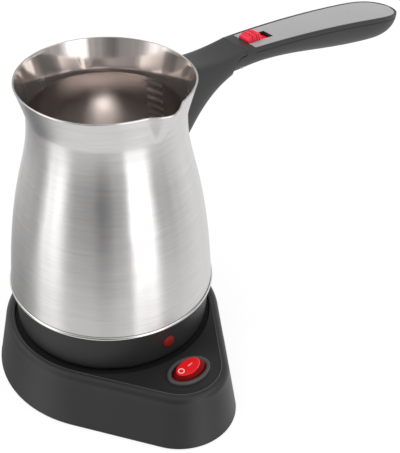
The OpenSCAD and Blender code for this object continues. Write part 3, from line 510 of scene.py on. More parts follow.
# the lens: a low dome in its hole
lens["front"] = -math.hypot(lens["at"].x, lensLow.y) + lens["setBack"]
dome = [(lens["r"] * math.cos(math.radians(d)), lens["bulge"] * math.sin(math.radians(d)))
        for d in range(0, 90, 9)]
dome = [(lens["r"], -lens["behind"])] + dome + [(0.02, lens["bulge"])]
turns = [2 * math.pi * i / 48 for i in range(48)]
lensPiece = loft("indicatorLens", [[(r * math.cos(t), lens["front"] - out, lens["at"].z + r * math.sin(t))
                                    for t in turns] for r, out in dome])
lensPiece.data.transform(Matrix.Rotation(lensTurn, 4, "Z"))
place(lensPiece, lensPlastic, "pot", "lens_plastic", "indicator_lens")
print("pot foot made")


# base: round end, nose, well and deck

baseLow, baseHigh = boxOf("base_shell")
base = {"r": baseHigh.y, "reach": 56.5, "draft": 4.7, "edge": 3.9, "low": baseLow.z, "deck": baseHigh.z,
        "drop": 0.2, "wall": 2.3, "roof": 26.8, "wellR": 51.2, "well": 1.6, "lip": 0.5, "plugR": 12.95,
        "ovalA": 11.3, "ovalB": 7.7, "cordR": 3.5, "cord": (0, 58, 9), "cordL": 16}
base["noseR"] = -baseLow.y - base["reach"]
base["wallTop"] = base["deck"] - base["edge"]
flankTurn = math.asin((base["r"] - base["noseR"]) / base["reach"])
housingLow, housingHigh = boxOf("switch_housing")
switchY = (housingLow.y + housingHigh.y) / 2


def baseRing(inset, z):
    ring = []
    n = 110
    start, end = -flankTurn, math.pi + flankTurn
    for i in range(n + 1):
        a = start + (end - start) * i / n
        ring.append(((base["r"] - inset) * math.cos(a), (base["r"] - inset) * math.sin(a), z))
    m, flat = 56, 16
    nose = []
    for i in range(m + 1):
        a = end + (math.pi - 2 * flankTurn) * i / m
        nose.append(((base["noseR"] - inset) * math.cos(a),
                     -base["reach"] + (base["noseR"] - inset) * math.sin(a), z))

    def flank(a, b):  # the points between the ends of a straight side
        return [tuple(a[k] + (b[k] - a[k]) * i / flat for k in range(3)) for i in range(1, flat)]

    return ring + flank(ring[-1], nose[0]) + nose + flank(nose[-1], ring[0])


def lean(z):
    return base["draft"] * (z - base["low"]) / (base["wallTop"] - base["low"])


outside = [(0.35, base["low"]), (0.1, base["low"] + 0.1), (0, base["low"] + 0.35)]
outside += [(lean(z), z) for z in steps(base["low"] + 1.5, base["wallTop"] - 0.6, 9)]
outside += [(base["draft"] + base["edge"] * (1 - math.cos(a)), base["wallTop"] + base["edge"] * math.sin(a))
            for a in [math.radians(d) for d in range(0, 86, 6)]]
top = base["draft"] + base["edge"]
deckZ = base["deck"] - base["drop"]
outside += [(top - 0.3, base["deck"] - 0.02), (top + 0.1, deckZ)]
inside = [(base["wall"], base["low"])]
inside += [(lean(z) + base["wall"], z) for z in steps(base["low"] + 2, base["roof"], 4) + [base["roof"]]]
rings = [baseRing(i, z) for i, z in reversed(inside)] + [baseRing(i, z) for i, z in outside]


def deckMesh():  # skin of the shell with the deck filled in round the well and the switch
    bm = bmesh.new()
    rows = [[bm.verts.new(Vector(p) * mm) for p in ring] for ring in rings]
    n = len(rows[0])
    for lowRow, highRow in zip(rows, rows[1:]):
        for c in range(n):
            d = (c + 1) % n
            bm.faces.new((lowRow[c], lowRow[d], highRow[d], highRow[c]))
    bm.faces.new(tuple(rows[0]))  # roof inside

    def circle(r, z, count=180):
        return [bm.verts.new(Vector((r * math.cos(2 * math.pi * i / count),
                                     r * math.sin(2 * math.pi * i / count), z)) * mm) for i in range(count)]

    def join(a, b):
        for c in range(len(a)):
            d = (c + 1) % len(a)
            bm.faces.new((a[c], a[d], b[d], b[c]))

    wellFloor = base["deck"] - base["well"]
    lip = [circle(base["wellR"] + base["lip"] - base["lip"] * math.sin(math.radians(d)),
                  deckZ - base["lip"] + base["lip"] * math.cos(math.radians(d))) for d in (0, 22, 45, 68, 90)]
    lip += [circle(base["wellR"], wellFloor + 0.35), circle(base["wellR"] - 0.1, wellFloor + 0.1),
            circle(base["wellR"] - 0.35, wellFloor), circle(30, wellFloor),
            circle(base["plugR"] + 0.3, wellFloor), circle(base["plugR"], wellFloor - 0.3),
            circle(base["plugR"], wellFloor - 1.8)]
    for a, b in zip(lip, lip[1:]):
        join(a, b)
    bm.faces.new(tuple(lip[-1]))
    oval = []
    for i in range(60):
        t = 2 * math.pi * i / 60
        at = Vector((base["ovalA"] * math.cos(t), switchY + base["ovalB"] * math.sin(t), deckZ))
        oval.append(bm.verts.new(at * mm))
    ovalLow = [bm.verts.new(v.co - Vector((0, 0, 2 * mm))) for v in oval]
    join(oval, ovalLow)
    bm.faces.new(tuple(ovalLow))
    loops = []
    for ring in (rows[-1], lip[0], oval):
        for c in range(len(ring)):
            d = (c + 1) % len(ring)
            edge = bm.edges.get((ring[c], ring[d])) or bm.edges.new((ring[c], ring[d]))
            loops.append(edge)
    bmesh.ops.triangle_fill(bm, use_beauty=True, use_dissolve=False, edges=loops)
    mesh = bpy.data.meshes.new("baseShell")
    bm.to_mesh(mesh)
    bm.free()
    obj = bpy.data.objects.new("baseShell", mesh)
    bpy.context.scene.collection.objects.link(obj)
    return obj


baseShell = deckMesh()
combine(baseShell, bar("cordHole", "y", base["cordR"], base["cord"], base["cordL"]))
tidyMesh(baseShell)
place(baseShell, basePlastic, "base", "base_plastic", "base_shell")
baseShell.data.materials.append(wellShade)
for face in baseShell.data.polygons:  # the well is in deep shade
    at = face.center / mm
    if math.hypot(at.x, at.y) < base["wellR"] + 0.15 and at.z < deckZ - 0.3:
        face.material_index = 1

# a thin bead-shaped strip where the rounded edge meets the deck, coloured light grey as a painted highlight
# along the edge
bead = [(top + 0.22, deckZ - 0.2), (top + 0.2, deckZ + 0.08), (top + 0.08, base["deck"]),
        (top - 0.12, base["deck"]), (top - 0.3, base["deck"] - 0.06), (top - 0.3, deckZ - 0.2)]
place(loft("deckEdgeHighlight", [baseRing(i, z) for i, z in bead], True, 60), edgePaintedHighlight, "base", "base_plastic")
print("base made")


# switch: oval bezel, rocker and its two signs

switch = {"openA": 9.6, "openB": 6.15, "low": 23.5, "z": base["deck"], "floorA": 10.4, "floorB": 6.8}


def ovalRing(a, b, z, n=96):
    turns = [2 * math.pi * i / n for i in range(n)]
    return [(a * math.cos(t), switchY + b * math.sin(t), z) for t in turns]


# half length, half width and height over the deck, up the outside and down to the opening
bezel = [(11.2, 7.6, switch["low"] - switch["z"]), (11.2, 7.6, -0.3), (11.9, 8.3, -0.3), (12.0, 8.4, -0.15),
         (12.0, 8.4, 0.55), (11.95, 8.34, 0.95), (11.8, 8.2, 1.28), (11.55, 7.92, 1.5), (11.2, 7.55, 1.58),
         (10.6, 6.98, 1.52), (10.1, 6.55, 1.38), (9.8, 6.3, 1.15), (9.64, 6.18, 0.85)]
bezelRings = [ovalRing(switch["openA"], switch["openB"], switch["low"])]
bezelRings += [ovalRing(a, b, switch["z"] + z) for a, b, z in bezel]
bezelRings.append(ovalRing(switch["openA"], switch["openB"], switch["z"] + 0.5))
place(loft("switchBezel", bezelRings, True, 50), bezelPlastic, "base", "bezel_plastic", "switch_housing")
rings = [ovalRing(switch["floorA"], switch["floorB"], switch["low"] + z) for z in (-0.6, 0.1)]
place(loft("switchWell", rings), socketPlastic, "base", "bezel_plastic")

# the rocker: round below, drawn in to a dished face, tipped about its trunnions
rocker = {"l": 9.2, "w": 5.75, "tilt": 10.0, "z": switch["z"] + 0.3, "top": 4.2, "dish": 0.7, "face": 0.7,
          "waist": 0.8, "under": 5.0, "pin": 0.55, "pinAt": 6.0, "pinL": 1.8}


def rockerTop(x):
    return rocker["top"] - rocker["dish"] * (1 - math.sqrt(x * x + 0.25) / rocker["l"])


def rockerScale(z):
    if z < rocker["waist"]:
        return math.sqrt(max(0, 1 - ((z - rocker["waist"]) / rocker["l"]) ** 2))
    return 1 - (1 - rocker["face"]) * (z - rocker["waist"]) / (rocker["top"] - rocker["waist"])


def tilted(x, y, z):
    a = math.radians(rocker["tilt"])
    return (x * math.cos(a) - z * math.sin(a), switchY + y, rocker["z"] + x * math.sin(a) + z * math.cos(a))


def rockerRing(z=None, shrink=0.0, drop=0.0, share=1.0, n=96):  # at a height, or just under the face
    ring = []
    for i in range(n):
        t = 2 * math.pi * i / n
        x, height = rocker["l"] * math.cos(t) * 0.8, z
        for _ in range(5):
            height = rockerTop(x) - drop if z is None else z
            k = rockerScale(height)
            x = (rocker["l"] * k - shrink) * share * math.cos(t)
        ring.append(tilted(x, (rocker["w"] * k - shrink) * share * math.sin(t), height))
    return ring


rockerRings = [rockerRing(z) for z in (-rocker["under"], -3, -1, 0, 0.8, 1.6, 2.4)]
rockerRings += [rockerRing(None, 0, 0.5), rockerRing(None, 0.03, 0.3), rockerRing(None, 0.12, 0.12),
                rockerRing(None, 0.26, 0.03)]
rockerRings += [rockerRing(None, 0.4, 0, s) for s in (1, 0.85, 0.7, 0.55, 0.4, 0.25, 0.1)]
rockerPiece = loft("switchRocker", rockerRings, False, 40)
for s in (-1, 1):
    at = (0, switchY + s * rocker["pinAt"], rocker["z"])
    combine(rockerPiece, bar("trunnion", "y", rocker["pin"], at, rocker["pinL"], 32), "UNION")
tidyMesh(rockerPiece, 40)
place(rockerPiece, redPlastic, "rocker", "red_plastic", "switch_rocker")
for material in (redPaintedShade, redPaintedHighlight, socketPlastic):
    rockerPiece.data.materials.append(material)
pivot = Vector(tilted(0, 0, 0))
faceUp = Vector(tilted(0, 0, 1)) - pivot
along = Vector(tilted(1, 0, 0)) - pivot
for face in rockerPiece.data.polygons:  # painted shade on the sides, and a painted highlight on the edge at the raised end
    at = face.center / mm - pivot
    below = rockerTop(at.dot(along)) - at.dot(faceUp)
    if abs(at.y) > rocker["w"] + 0.05:
        face.material_index = 3
    elif below > 0.32:
        face.material_index = 1
    elif below > 0.06 and at.x > 2:
        face.material_index = 2


signs = {"offX": -4.2, "r": 1.6, "line": 0.42, "onX": 0.2, "onL": 2.6, "onHalf": 0.27, "onY": 0.25,
         "out": 0.03, "in": 0.15}


def signMesh(name, outline, inner=None):  # laid on the rocker's face
    def level(points, lift):
        return [tilted(x, y, rockerTop(x) + lift) for x, y in points]
    if inner:
        rings = [level(outline, signs["out"]), level(outline, -signs["in"]), level(inner, -signs["in"]),
                 level(inner, signs["out"])]
        return loft(name, rings, True, 30)
    return loft(name, [level(outline, -signs["in"]), level(outline, signs["out"])], False, 30)


turns = [2 * math.pi * i / 40 for i in range(40)]
circles = [[(signs["offX"] + r * math.cos(t), r * math.sin(t)) for t in turns]
           for r in (signs["r"], signs["r"] - signs["line"])]
place(signMesh("signOff", *circles), markPaint, "rocker", "red_plastic")
onEnds = (signs["onX"], signs["onX"] + signs["onL"])
onSides = (signs["onY"] - signs["onHalf"], signs["onY"] + signs["onHalf"])
place(signMesh("signOn", [(onEnds[0], onSides[0]), (onEnds[1], onSides[0]), (onEnds[1], onSides[1]),
                          (onEnds[0], onSides[1])]),
      markFaint, "rocker", "red_plastic")
print("switch made")


# handle

hingeX, hingeZ = 77.0, rim - 15.0
grip = {"l": 118.6, "w0": 18.8, "w1": 25.6, "wideAt": 0.78, "d0": 12.0, "belly": 4.6, "cover": 9.0,
        "fall": 2.0, "bend": 8.9, "turn": 0.815, "tipIn": 0.08, "tipForm": 2.5, "knuckle": 6.0, "seam": 0.9,
        "panelT": 1.6, "rim": 1.0, "panelAt": 6.9, "gap": 0.3, "slotHalf": 3.6, "screws": (0.44, 0.84),
        "screwR": 3.15}


def gripU(x):
    return (x - hingeX) / grip["l"]


def gripTop(x):
    u = gripU(x)
    return hingeZ + grip["cover"] - grip["fall"] * u - grip["bend"] * u * u


def gripDepth(x):
    u = gripU(x)
    knuckle = max(0, 1 - max(0, u) / 0.15)
    belly = max(0, min(1, (u - 0.1) / 1.2))
    return grip["d0"] + 1.1 * knuckle * knuckle + grip["belly"] * (1 - math.cos(2 * math.pi * belly)) / 2


def tipEnd(inset):
    return hingeX + grip["l"] - grip["tipIn"] - 1.4 * inset


def tipShare(x, inset):
    x0 = hingeX + grip["turn"] * grip["l"]
    v = max(0, min(1, (x - x0) / (tipEnd(inset) - x0)))
    return (1 - v ** grip["tipForm"]) ** (1 / grip["tipForm"])


def gripHalf(x, inset):
    width = grip["w0"] + (grip["w1"] - grip["w0"]) * min(1, max(0, gripU(x)) / grip["wideAt"])
    return (width / 2 - inset) * tipShare(x, inset)


def section(top, low, half, crown, n=72, corner=0.36):  # flat top with round corners, oval belly
    dx, dz = low[0] - top[0], low[1] - top[1]
    depth = math.hypot(dx, dz)
    dx, dz = dx / depth, dz / depth
    ring = []
    for i in range(n):
        c, s = math.cos(2 * math.pi * i / n), -math.sin(2 * math.pi * i / n)
        lobe = corner if s < 0 else 0.87
        y = half * math.copysign(abs(c) ** lobe, c)
        v = crown * (1 - (-s) ** lobe) if s < 0 else crown + (depth - crown) * s ** lobe
        ring.append((top[0] + dx * v, y, top[1] + dz * v))
    return ring


def stations(start, inset, n):
    x0 = hingeX + grip["turn"] * grip["l"]
    tip = (0, 8, 16, 24, 32, 40, 47, 54, 60, 66, 71, 75, 78.5, 81.5, 84, 86)
    return steps(start, x0, n) + [x0 + (tipEnd(inset) - x0) * math.sin(math.radians(d)) for d in tip]


def gripLoft(name, start, inset, lift, n):
    return loft(name, [section((x, gripTop(x) + lift),
                               (x, gripTop(x) - (gripDepth(x) - inset) * tipShare(x, inset)),
                               gripHalf(x, inset), 0.7) for x in stations(start, inset, n)], False, 40)


def strip(name, inset, over, under, crown=0.0, soft=0.0, n=40):  # slab along the top of the grip
    rings = []
    for x in stations(hingeX + grip["panelAt"], inset, n):
        half, z = gripHalf(x, inset), gripTop(x)
        across = [1 - 2 * i / 16 for i in range(17)]
        ring = [(x, half * k * (1 - soft * (abs(k) == 1) / max(half, 1)), z + over - crown * abs(k) ** 2.5)
                for k in across]
        if soft:
            ring = [(x, half, z + over - crown - soft)] + ring + [(x, -half, z + over - crown - soft)]
        ring += [(x, -half, z - under), (x, half, z - under)]
        rings.append(ring)
    return loft(name, rings, False, 30)


gripShell = gripLoft("gripShell", hingeX - grip["knuckle"] - 0.6, 0, 0, 44)
keep = block("keep", (hingeX + grip["seam"], -50, hingeZ - 60), (hingeX + 160, 50, hingeZ + 60))
combine(keep, bar("knuckle", "y", grip["knuckle"], (hingeX, 0, hingeZ), 60, 96), "UNION")
combine(gripShell, keep, "INTERSECT")
combine(gripShell, strip("pocket", grip["rim"] - 0.1, 2, grip["panelT"] + 0.1))
tongueSlot = block("tongueSlot", (hingeX - 20, -5.0, hingeZ - 1), (hingeX + 6.3, 5.0, hingeZ + 6.3))
combine(tongueSlot, bar("slotRound", "y", 6.0, (hingeX, 0, hingeZ), 9.98, 96), "UNION")
slotBack = block("slotBack", (hingeX - 20, -4.98, hingeZ - 20), (hingeX, 4.98, hingeZ - 0.5))
combine(tongueSlot, slotBack, "UNION")
combine(gripShell, tongueSlot)
combine(gripShell, block("carriageSlot", (hingeX + 6.6, -5.6, hingeZ + 3.7),
                         (hingeX + 40, 5.6, hingeZ + 30)))
groove = strip("groove", -2, -2.35, 2.9)  # parting line round the grip, under the panel
combine(groove, strip("grooveCore", 0.3, -1, 4))
combine(gripShell, groove)
for share in grip["screws"]:
    x = hingeX + share * grip["l"]
    combine(gripShell, bar("screwHole", "z", grip["screwR"], (x, 0, gripTop(x) - gripDepth(x) - 6), 20, 32))
tidyMesh(gripShell, 36)
place(gripShell, handlePlastic, "grip", "handle_plastic", "grip_shell")

panel = strip("gripPanel", grip["rim"], 0, grip["panelT"], 0.35, 0.15)
button = {"x": hingeX + grip["panelAt"], "l": 8.8, "half": 4.1, "h": 3.2, "lean": 0.8, "ribs": 5,
          "travel": 8.0, "stem": 3.3, "in": 0.5, "plateHalf": 5.3, "tabHalf": 2.9, "tabL": 1.6}
slotEnd = button["x"] + button["l"] - button["in"] + button["travel"] + grip["gap"]
combine(panel, block("slot", (hingeX, -grip["slotHalf"], hingeZ - 5),
                     (slotEnd, grip["slotHalf"], hingeZ + 25)))
tidyMesh(panel, 30)
place(panel, panelFinish, "grip", "panel_plastic", "grip_panel")
panel.data.materials.append(handlePlastic)
for face in panel.data.polygons:  # walls of the slot
    at = face.center / mm
    if abs(at.y) < grip["slotHalf"] + 0.1 and at.x < slotEnd + 0.1 and abs(face.normal.z) < 0.5:
        face.material_index = 1

# the bracket runs from its heel on the neck into the hinge
bracket = {"w": 20, "crown": 0.7, "crownMore": 2.5, "screws": (13.5, 20.5), "screwR": 3.15, "tongue": 9.4,
           "neckHalf": 4.69, "neckRise": 3.9}
bracketTop = hingeZ + grip["cover"]
topLine = bezier([(pot["neckR"] + 3, bracketTop + 0.7), (pot["neckR"] + 13, bracketTop - 2),
                  (hingeX - 15, bracketTop - 2.6), (hingeX + 1, bracketTop)], 30)
lowLine = bezier([(pot["neckR"] + 5, bracketTop - 46.8), (pot["neckR"] + 13.5, bracketTop - 32.5),
                  (hingeX - 19, bracketTop - 17.8), (hingeX + 1, bracketTop - 13.1)], 30)
rings = [section((topLine[0][0] - 8, topLine[0][1]), (lowLine[0][0] - 12, lowLine[0][1]), 10, 3.2, 72, 0.62)]
for i in range(31):
    width = bracket["w"] + (grip["w0"] - bracket["w"]) * i / 30
    rings.append(section(topLine[i], lowLine[i], width / 2,
                         bracket["crown"] + bracket["crownMore"] * (1 - i / 30) ** 2, 72,
                         0.36 + 0.26 * (1 - i / 30)))
bracketPiece = loft("handleBracket", rings, False, 40)
seat = grip["knuckle"] + 0.6
combine(bracketPiece, bar("seat", "y", seat, (hingeX, 0, hingeZ), 60, 96))
combine(bracketPiece, block("pastSeam", (hingeX + grip["seam"] - 0.14, -20, hingeZ - 12),
                            (hingeX + 30, 20, hingeZ + 30)))
tongue = bar("tongue", "y", grip["knuckle"] - grip["gap"], (hingeX, 0, hingeZ), bracket["tongue"], 96)
combine(tongue, block("neck", (hingeX - 12, -bracket["neckHalf"], hingeZ - bracket["neckRise"]),
                      (hingeX, bracket["neckHalf"], hingeZ + bracket["neckRise"])), "UNION")
combine(tongue, gripLoft("tongueForm", hingeX - 14, 0.15, 0, 44), "INTERSECT")
combine(bracketPiece, tongue, "UNION")
core = [(0.02, 60)] + [(r + 0.1, z) for r, z in side[::6]] + [(42.2, rim + 5), (0.02, rim + 5)]
combine(bracketPiece, lathe("core", core, 128, 32, False))  # the pot's own form
for x in bracket["screws"]:
    at = (pot["neckR"] + x, 0, hingeZ - 30)
    combine(bracketPiece, bar("screwHole", "z", bracket["screwR"], at, 42, 32))
tidyMesh(bracketPiece, 36)
place(bracketPiece, handlePlastic, "pot", "handle_plastic", "handle_bracket")


# the red button: ribs across its top and down its sides, on a stem and a carriage
capZ = gripTop(button["x"]) + grip["gap"]
buttonTop = gripTop(button["x"]) + button["h"]
carriageZ = hingeZ + 4.0
pitch = (button["l"] - 2 * button["lean"]) / button["ribs"]


def buttonRing(x, top, shrink):
    low = button["half"] - shrink
    high = low - button["lean"] * (top - capZ) / (buttonTop - capZ)
    line = [(low, capZ), (low, capZ + 0.6), (high, top - 0.3), (high - 0.12, top - 0.09), (high - 0.4, top)]
    return [(x, y, z) for y, z in line] + [(x, -y, z) for y, z in reversed(line)]


rings = [buttonRing(button["x"], capZ + 1.0, 0.15), buttonRing(button["x"] + 0.15, capZ + 1.4, 0)]
for i in range(button["ribs"]):
    for share, drop, shrink in ((0.02, 0.7, 0.42), (0.16, 0.5, 0.3), (0.3, 0.06, 0.04), (0.5, 0, 0),
                                (0.7, 0.06, 0.04), (0.84, 0.5, 0.3), (0.98, 0.7, 0.42)):
        rings.append(buttonRing(button["x"] + button["lean"] + (i + share) * pitch, buttonTop - drop, shrink))
rings += [buttonRing(button["x"] + button["l"] - 0.15, capZ + 1.4, 0),
          buttonRing(button["x"] + button["l"], capZ + 1.0, 0.15)]
buttonPiece = loft("latchButton", rings, False, 40)
carriageLow, carriageHigh = boxOf("latch_button")
plateTop = gripTop(carriageHigh.x + button["travel"]) - grip["panelT"] - 0.3
stemEnds = (button["x"] + button["in"], button["x"] + button["l"] - button["in"])
for name, fromX, toX, half, fromZ, toZ in (
        ("stem", stemEnds[0], stemEnds[1], button["stem"], carriageZ, capZ + 0.3),
        ("plate", stemEnds[0], carriageHigh.x, button["plateHalf"], carriageZ, plateTop),
        ("tab", carriageHigh.x - button["tabL"], carriageHigh.x, button["tabHalf"], carriageLow.z,
         carriageZ + 0.1)):
    combine(buttonPiece, block(name, (fromX, -half, fromZ), (toX, half, toZ)), "UNION")
tidyMesh(buttonPiece, 40)
place(buttonPiece, buttonRed, "latch", "red_plastic", "latch_button")
buttonPiece.data.materials.append(buttonShade)
for face in buttonPiece.data.polygons:  # shade between the ribs
    along = (face.center.x / mm - button["x"] - button["lean"]) / pitch
    if face.center.z / mm > capZ and 0 < along < button["ribs"] and abs(along % 1 - 0.5) > 0.27:
        face.material_index = 1
print("handle made")


# finishes of the CAD pieces that show as they are

finishes = {"vessel_floor": dullSteel, "heater_plate": castAluminium, "heating_element": elementSteel,
            "thermal_cutout": ceramic, "foot_screws": plainSteel, "pot_socket": socketPlastic,
            "socket_contacts": brass, "indicator_lamp": lampGlass, "neck_strap": plainSteel,
            "bracket_screws": plainSteel, "hinge_pin": plainSteel, "grip_screws": plainSteel,
            "latch_bolt": plainSteel, "latch_spring": plainSteel, "base_floor": basePlastic,
            "rubber_feet": rubber, "floor_screws": plainSteel, "base_plug": socketPlastic,
            "plug_contacts": brass, "plug_screws": plainSteel, "switch_blades": brass}
for name, material in finishes.items():
    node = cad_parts[name]
    node.data.materials.clear()
    node.data.materials.append(material)
print("finishes set")


# camera

# degrees, millimetres, and pixels of a frame whose longer side is longSide
view = {"turn": -41.25, "rise": 36.74, "roll": 2.19, "distance": 534.3, "shiftX": -85.78, "shiftY": 119.5,
        "f": 969.45, "longSide": 453, "sensor": 36.0}
a, e, roll = (math.radians(view[k]) for k in ("turn", "rise", "roll"))
back = Vector((math.sin(a) * math.cos(e), -math.cos(a) * math.cos(e), math.sin(e)))
right = Vector((math.cos(a), math.sin(a), 0))
up = back.cross(right)
across = math.cos(roll) * right + math.sin(roll) * up
upward = -math.sin(roll) * right + math.cos(roll) * up
cameraAt = back * view["distance"] - across * (view["shiftX"] / view["f"] * view["distance"]) \
    + upward * (view["shiftY"] / view["f"] * view["distance"])
lensData = bpy.data.cameras.new("camera")
lensData.sensor_fit = "AUTO"
lensData.sensor_width = view["sensor"]
lensData.lens = view["f"] / view["longSide"] * view["sensor"]
lensData.clip_start = 0.02
lensData.clip_end = 50
camera = bpy.data.objects.new("camera", lensData)
turned = Matrix((across, upward, back)).transposed().to_4x4()
camera.matrix_world = Matrix.Translation(cameraAt * mm) @ turned
bpy.context.scene.collection.objects.link(camera)
bpy.context.scene.camera = camera


# floor, world and lights

floorLook = {"reach": 8.0, "grey": 0.86, "glow": 1.05, "glowShare": 0.8}
reach = floorLook["reach"]
floorMesh = bpy.data.meshes.new("floor")
floorMesh.from_pydata([(-reach, -reach, 0), (reach, -reach, 0), (reach, reach, 0), (-reach, reach, 0)], [],
                      [(0, 1, 2, 3)])
floor = bpy.data.objects.new("floor", floorMesh)
bpy.context.scene.collection.objects.link(floor)
floorPaint = bpy.data.materials.new("floorPaint")
floorPaint.use_nodes = True
tree = floorPaint.node_tree
tree.nodes.clear()
output = tree.nodes.new("ShaderNodeOutputMaterial")
matt = tree.nodes.new("ShaderNodeBsdfDiffuse")
matt.inputs["Color"].default_value = (floorLook["grey"], floorLook["grey"], floorLook["grey"], 1)
glow = tree.nodes.new("ShaderNodeEmission")
glow.inputs["Strength"].default_value = floorLook["glow"]
rays = tree.nodes.new("ShaderNodeLightPath")
mixed = tree.nodes.new("ShaderNodeMixShader")
link(tree, figure(tree, "MULTIPLY", rays.outputs["Is Camera Ray"], floorLook["glowShare"]), mixed.inputs[0])
link(tree, matt.outputs[0], mixed.inputs[1])
link(tree, glow.outputs[0], mixed.inputs[2])
link(tree, mixed.outputs[0], output.inputs[0])
floorMesh.materials.append(floorPaint)
floor.visible_glossy = False


def greyRamp(tree, source, stops, start=0, span=1, scale=1.0):  # stops as (place, value)
    node = tree.nodes.new("ShaderNodeValToRGB")
    ramp = node.color_ramp
    while len(ramp.elements) < len(stops):
        ramp.elements.new(0.5)
    for element, (at, value) in zip(ramp.elements, stops):
        element.position = (at - start) / span
    for element, (at, value) in zip(ramp.elements, stops):
        element.color = (value * scale, value * scale, value * scale, 1)
    link(tree, source, node.inputs[0])
    return node.outputs[0]


def blend(tree, kind, factor, a, b):  # two colours
    node = addNode(tree, "ShaderNodeMix", data_type="RGBA", blend_type=kind)
    feed(tree, factor, node.inputs[0])
    link(tree, a, node.inputs[6])
    link(tree, b, node.inputs[7])
    return node.outputs[2]


# the studio's light by degrees: around from the viewer's side, or up from level; values are halved
studio = {
    "bands": [(-180, 1.15), (-164, 1.5), (-149, 1.15), (-130, 0.8), (-100, 0.54), (-86, 0.37), (-76, 1.0),
              (-70, 1.4), (-52, 1.35), (-45, 0.6), (-36, 0.36), (-16, 0.3), (-5, 0.15), (2, 0.17), (14, 0.36),
              (26, 0.5), (32, 1.8), (54, 1.8), (60, 0.85), (67, 0.44), (86, 0.48), (106, 0.7), (124, 0.8),
              (180, 0.88)],
    "bandsHold": [(-90, 0.0), (-42, 0.0), (-30, 0.35), (-20, 0.75), (-9, 1.0), (38, 1.0), (52, 0.4),
                  (65, 0.0)],
    "plain": [(0.25, 0.4), (0.45, 0.38), (0.62, 0.16), (0.72, 0.16), (0.85, 0.3), (1.0, 0.3)],
    "lowPatch": [(-172, 1.0), (-158, 0.5), (-140, 0.25), (-112, 0.25), (-96, 0.5), (-82, 1.0)],
    "upper": [(-180, 0.62), (-154, 0.5), (-128, 0.6), (-118, 2.0), (-62, 2.0), (-50, 0.6), (-28, 0.25),
              (0, 0.3), (24, 0.7), (34, 1.9), (60, 1.8), (88, 1.9), (98, 0.8), (112, 0.45), (163, 0.55),
              (180, 0.62)],
    "upperGrows": [(18, 0.25), (26, 0.3), (31, 0.55), (36, 1.0), (90, 1.0)],
    "upperHolds": [(19, 0.0), (25, 1.0), (44, 1.0), (60, 0.0)],
    "streaks": 46.0, "streakDetail": 3.0, "streakLow": 0.7, "streakHigh": 1.3, "strength": 2.0}

world = bpy.data.worlds.new("studio")
bpy.context.scene.world = world
world.use_nodes = True
tree = world.node_tree
tree.nodes.clear()
output = tree.nodes.new("ShaderNodeOutputWorld")
at = splitPoint(tree, tree.nodes.new("ShaderNodeTexCoord").outputs["Generated"])
angle = figure(tree, "ARCTAN2", at["Y"], at["X"])
facing = math.atan2(back.y, back.x)
around = figure(tree, "MULTIPLY_ADD", angle, 1 / (2 * math.pi), 0.5 - facing / (2 * math.pi) + 1)
around = figure(tree, "FRACT", around)  # 0.5 towards the viewer, rising to the right
height = figure(tree, "MULTIPLY_ADD", figure(tree, "ARCSINE", at["Z"]), 1 / math.pi, 0.5)

bands = greyRamp(tree, around, studio["bands"], -180, 360, 0.5)
streaks = noise(tree, around, studio["streaks"], studio["streakDetail"], dimensions="1D")
streaks = spread(tree, streaks, studio["streakLow"], studio["streakHigh"])
streaked = blend(tree, "MULTIPLY", 1.0, bands, streaks)
lowPatch = greyRamp(tree, around, studio["lowPatch"], -180, 360)  # a darker patch low on the left
patched = blend(tree, "MULTIPLY", 1.0, greyRamp(tree, height, studio["plain"]), lowPatch)
bandsHold = greyRamp(tree, height, studio["bandsHold"], -90, 180)
lower = blend(tree, "MIX", bandsHold, patched, streaked)
upper = blend(tree, "MULTIPLY", 1.0, greyRamp(tree, around, studio["upper"], -180, 360, 0.5),
              greyRamp(tree, height, studio["upperGrows"], -90, 180))
whole = blend(tree, "MIX", greyRamp(tree, height, studio["upperHolds"], -90, 180), lower, upper)

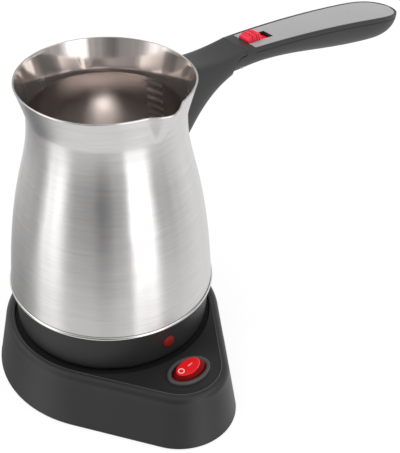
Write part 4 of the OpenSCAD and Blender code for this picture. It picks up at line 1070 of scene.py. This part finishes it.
light = tree.nodes.new("ShaderNodeBackground")
light.inputs["Strength"].default_value = studio["strength"]
link(tree, whole, light.inputs["Color"])
white = tree.nodes.new("ShaderNodeBackground")
rays = tree.nodes.new("ShaderNodeLightPath")
mixed = tree.nodes.new("ShaderNodeMixShader")
link(tree, rays.outputs["Is Camera Ray"], mixed.inputs[0])
link(tree, light.outputs[0], mixed.inputs[1])
link(tree, white.outputs[0], mixed.inputs[2])
link(tree, mixed.outputs[0], output.inputs[0])


def addLamp(name, kind, power, where):
    lampData = bpy.data.lights.new(name, kind)
    lampData.energy = power
    lamp = bpy.data.objects.new(name, lampData)
    lamp.location = where
    bpy.context.scene.collection.objects.link(lamp)
    lamp.visible_glossy = False
    lamp.visible_camera = False
    return lamp


softBoxes = {"keyLight": {"at": (-0.5, -0.3, 1.3), "size": 0.9, "power": 9},
             "fillLight": {"at": (0.9, -0.9, 0.8), "size": 0.8, "power": 4.6}}
softTarget = (0.03, 0, 0.08)
for name, box in softBoxes.items():
    lamp = addLamp(name, "AREA", box["power"], box["at"])
    lamp.data.shape = "RECTANGLE"
    lamp.data.size = lamp.data.size_y = box["size"]
    lamp.rotation_mode = "QUATERNION"
    lamp.rotation_quaternion = (Vector(softTarget) - Vector(box["at"])).to_track_quat("-Z", "Y")

# two narrow spots from above for the glow inside the pot
snoots = {"snoot1": {"back": 0.003, "aside": 0.002, "cone": 1.75, "power": 150},
          "snoot2": {"back": 0.022, "aside": 0.006, "cone": 1.6, "power": 720}}
snootHeight, snootRadius = 1.1, 0.01
for name, spot in snoots.items():
    at = (back.x * spot["back"] + right.x * spot["aside"], back.y * spot["back"] + right.y * spot["aside"],
          snootHeight)
    lamp = addLamp(name, "SPOT", spot["power"], at)
    lamp.data.spot_size = math.radians(spot["cone"])
    lamp.data.spot_blend = 1.0
    lamp.data.shadow_soft_size = snootRadius

scene = bpy.context.scene
scene.render.engine = "CYCLES"
scene.cycles.use_denoising = True
scene.cycles.max_bounces = 8
scene.cycles.sample_clamp_indirect = 6.0
scene.view_settings.view_transform = "Standard"
print("camera and lights set")
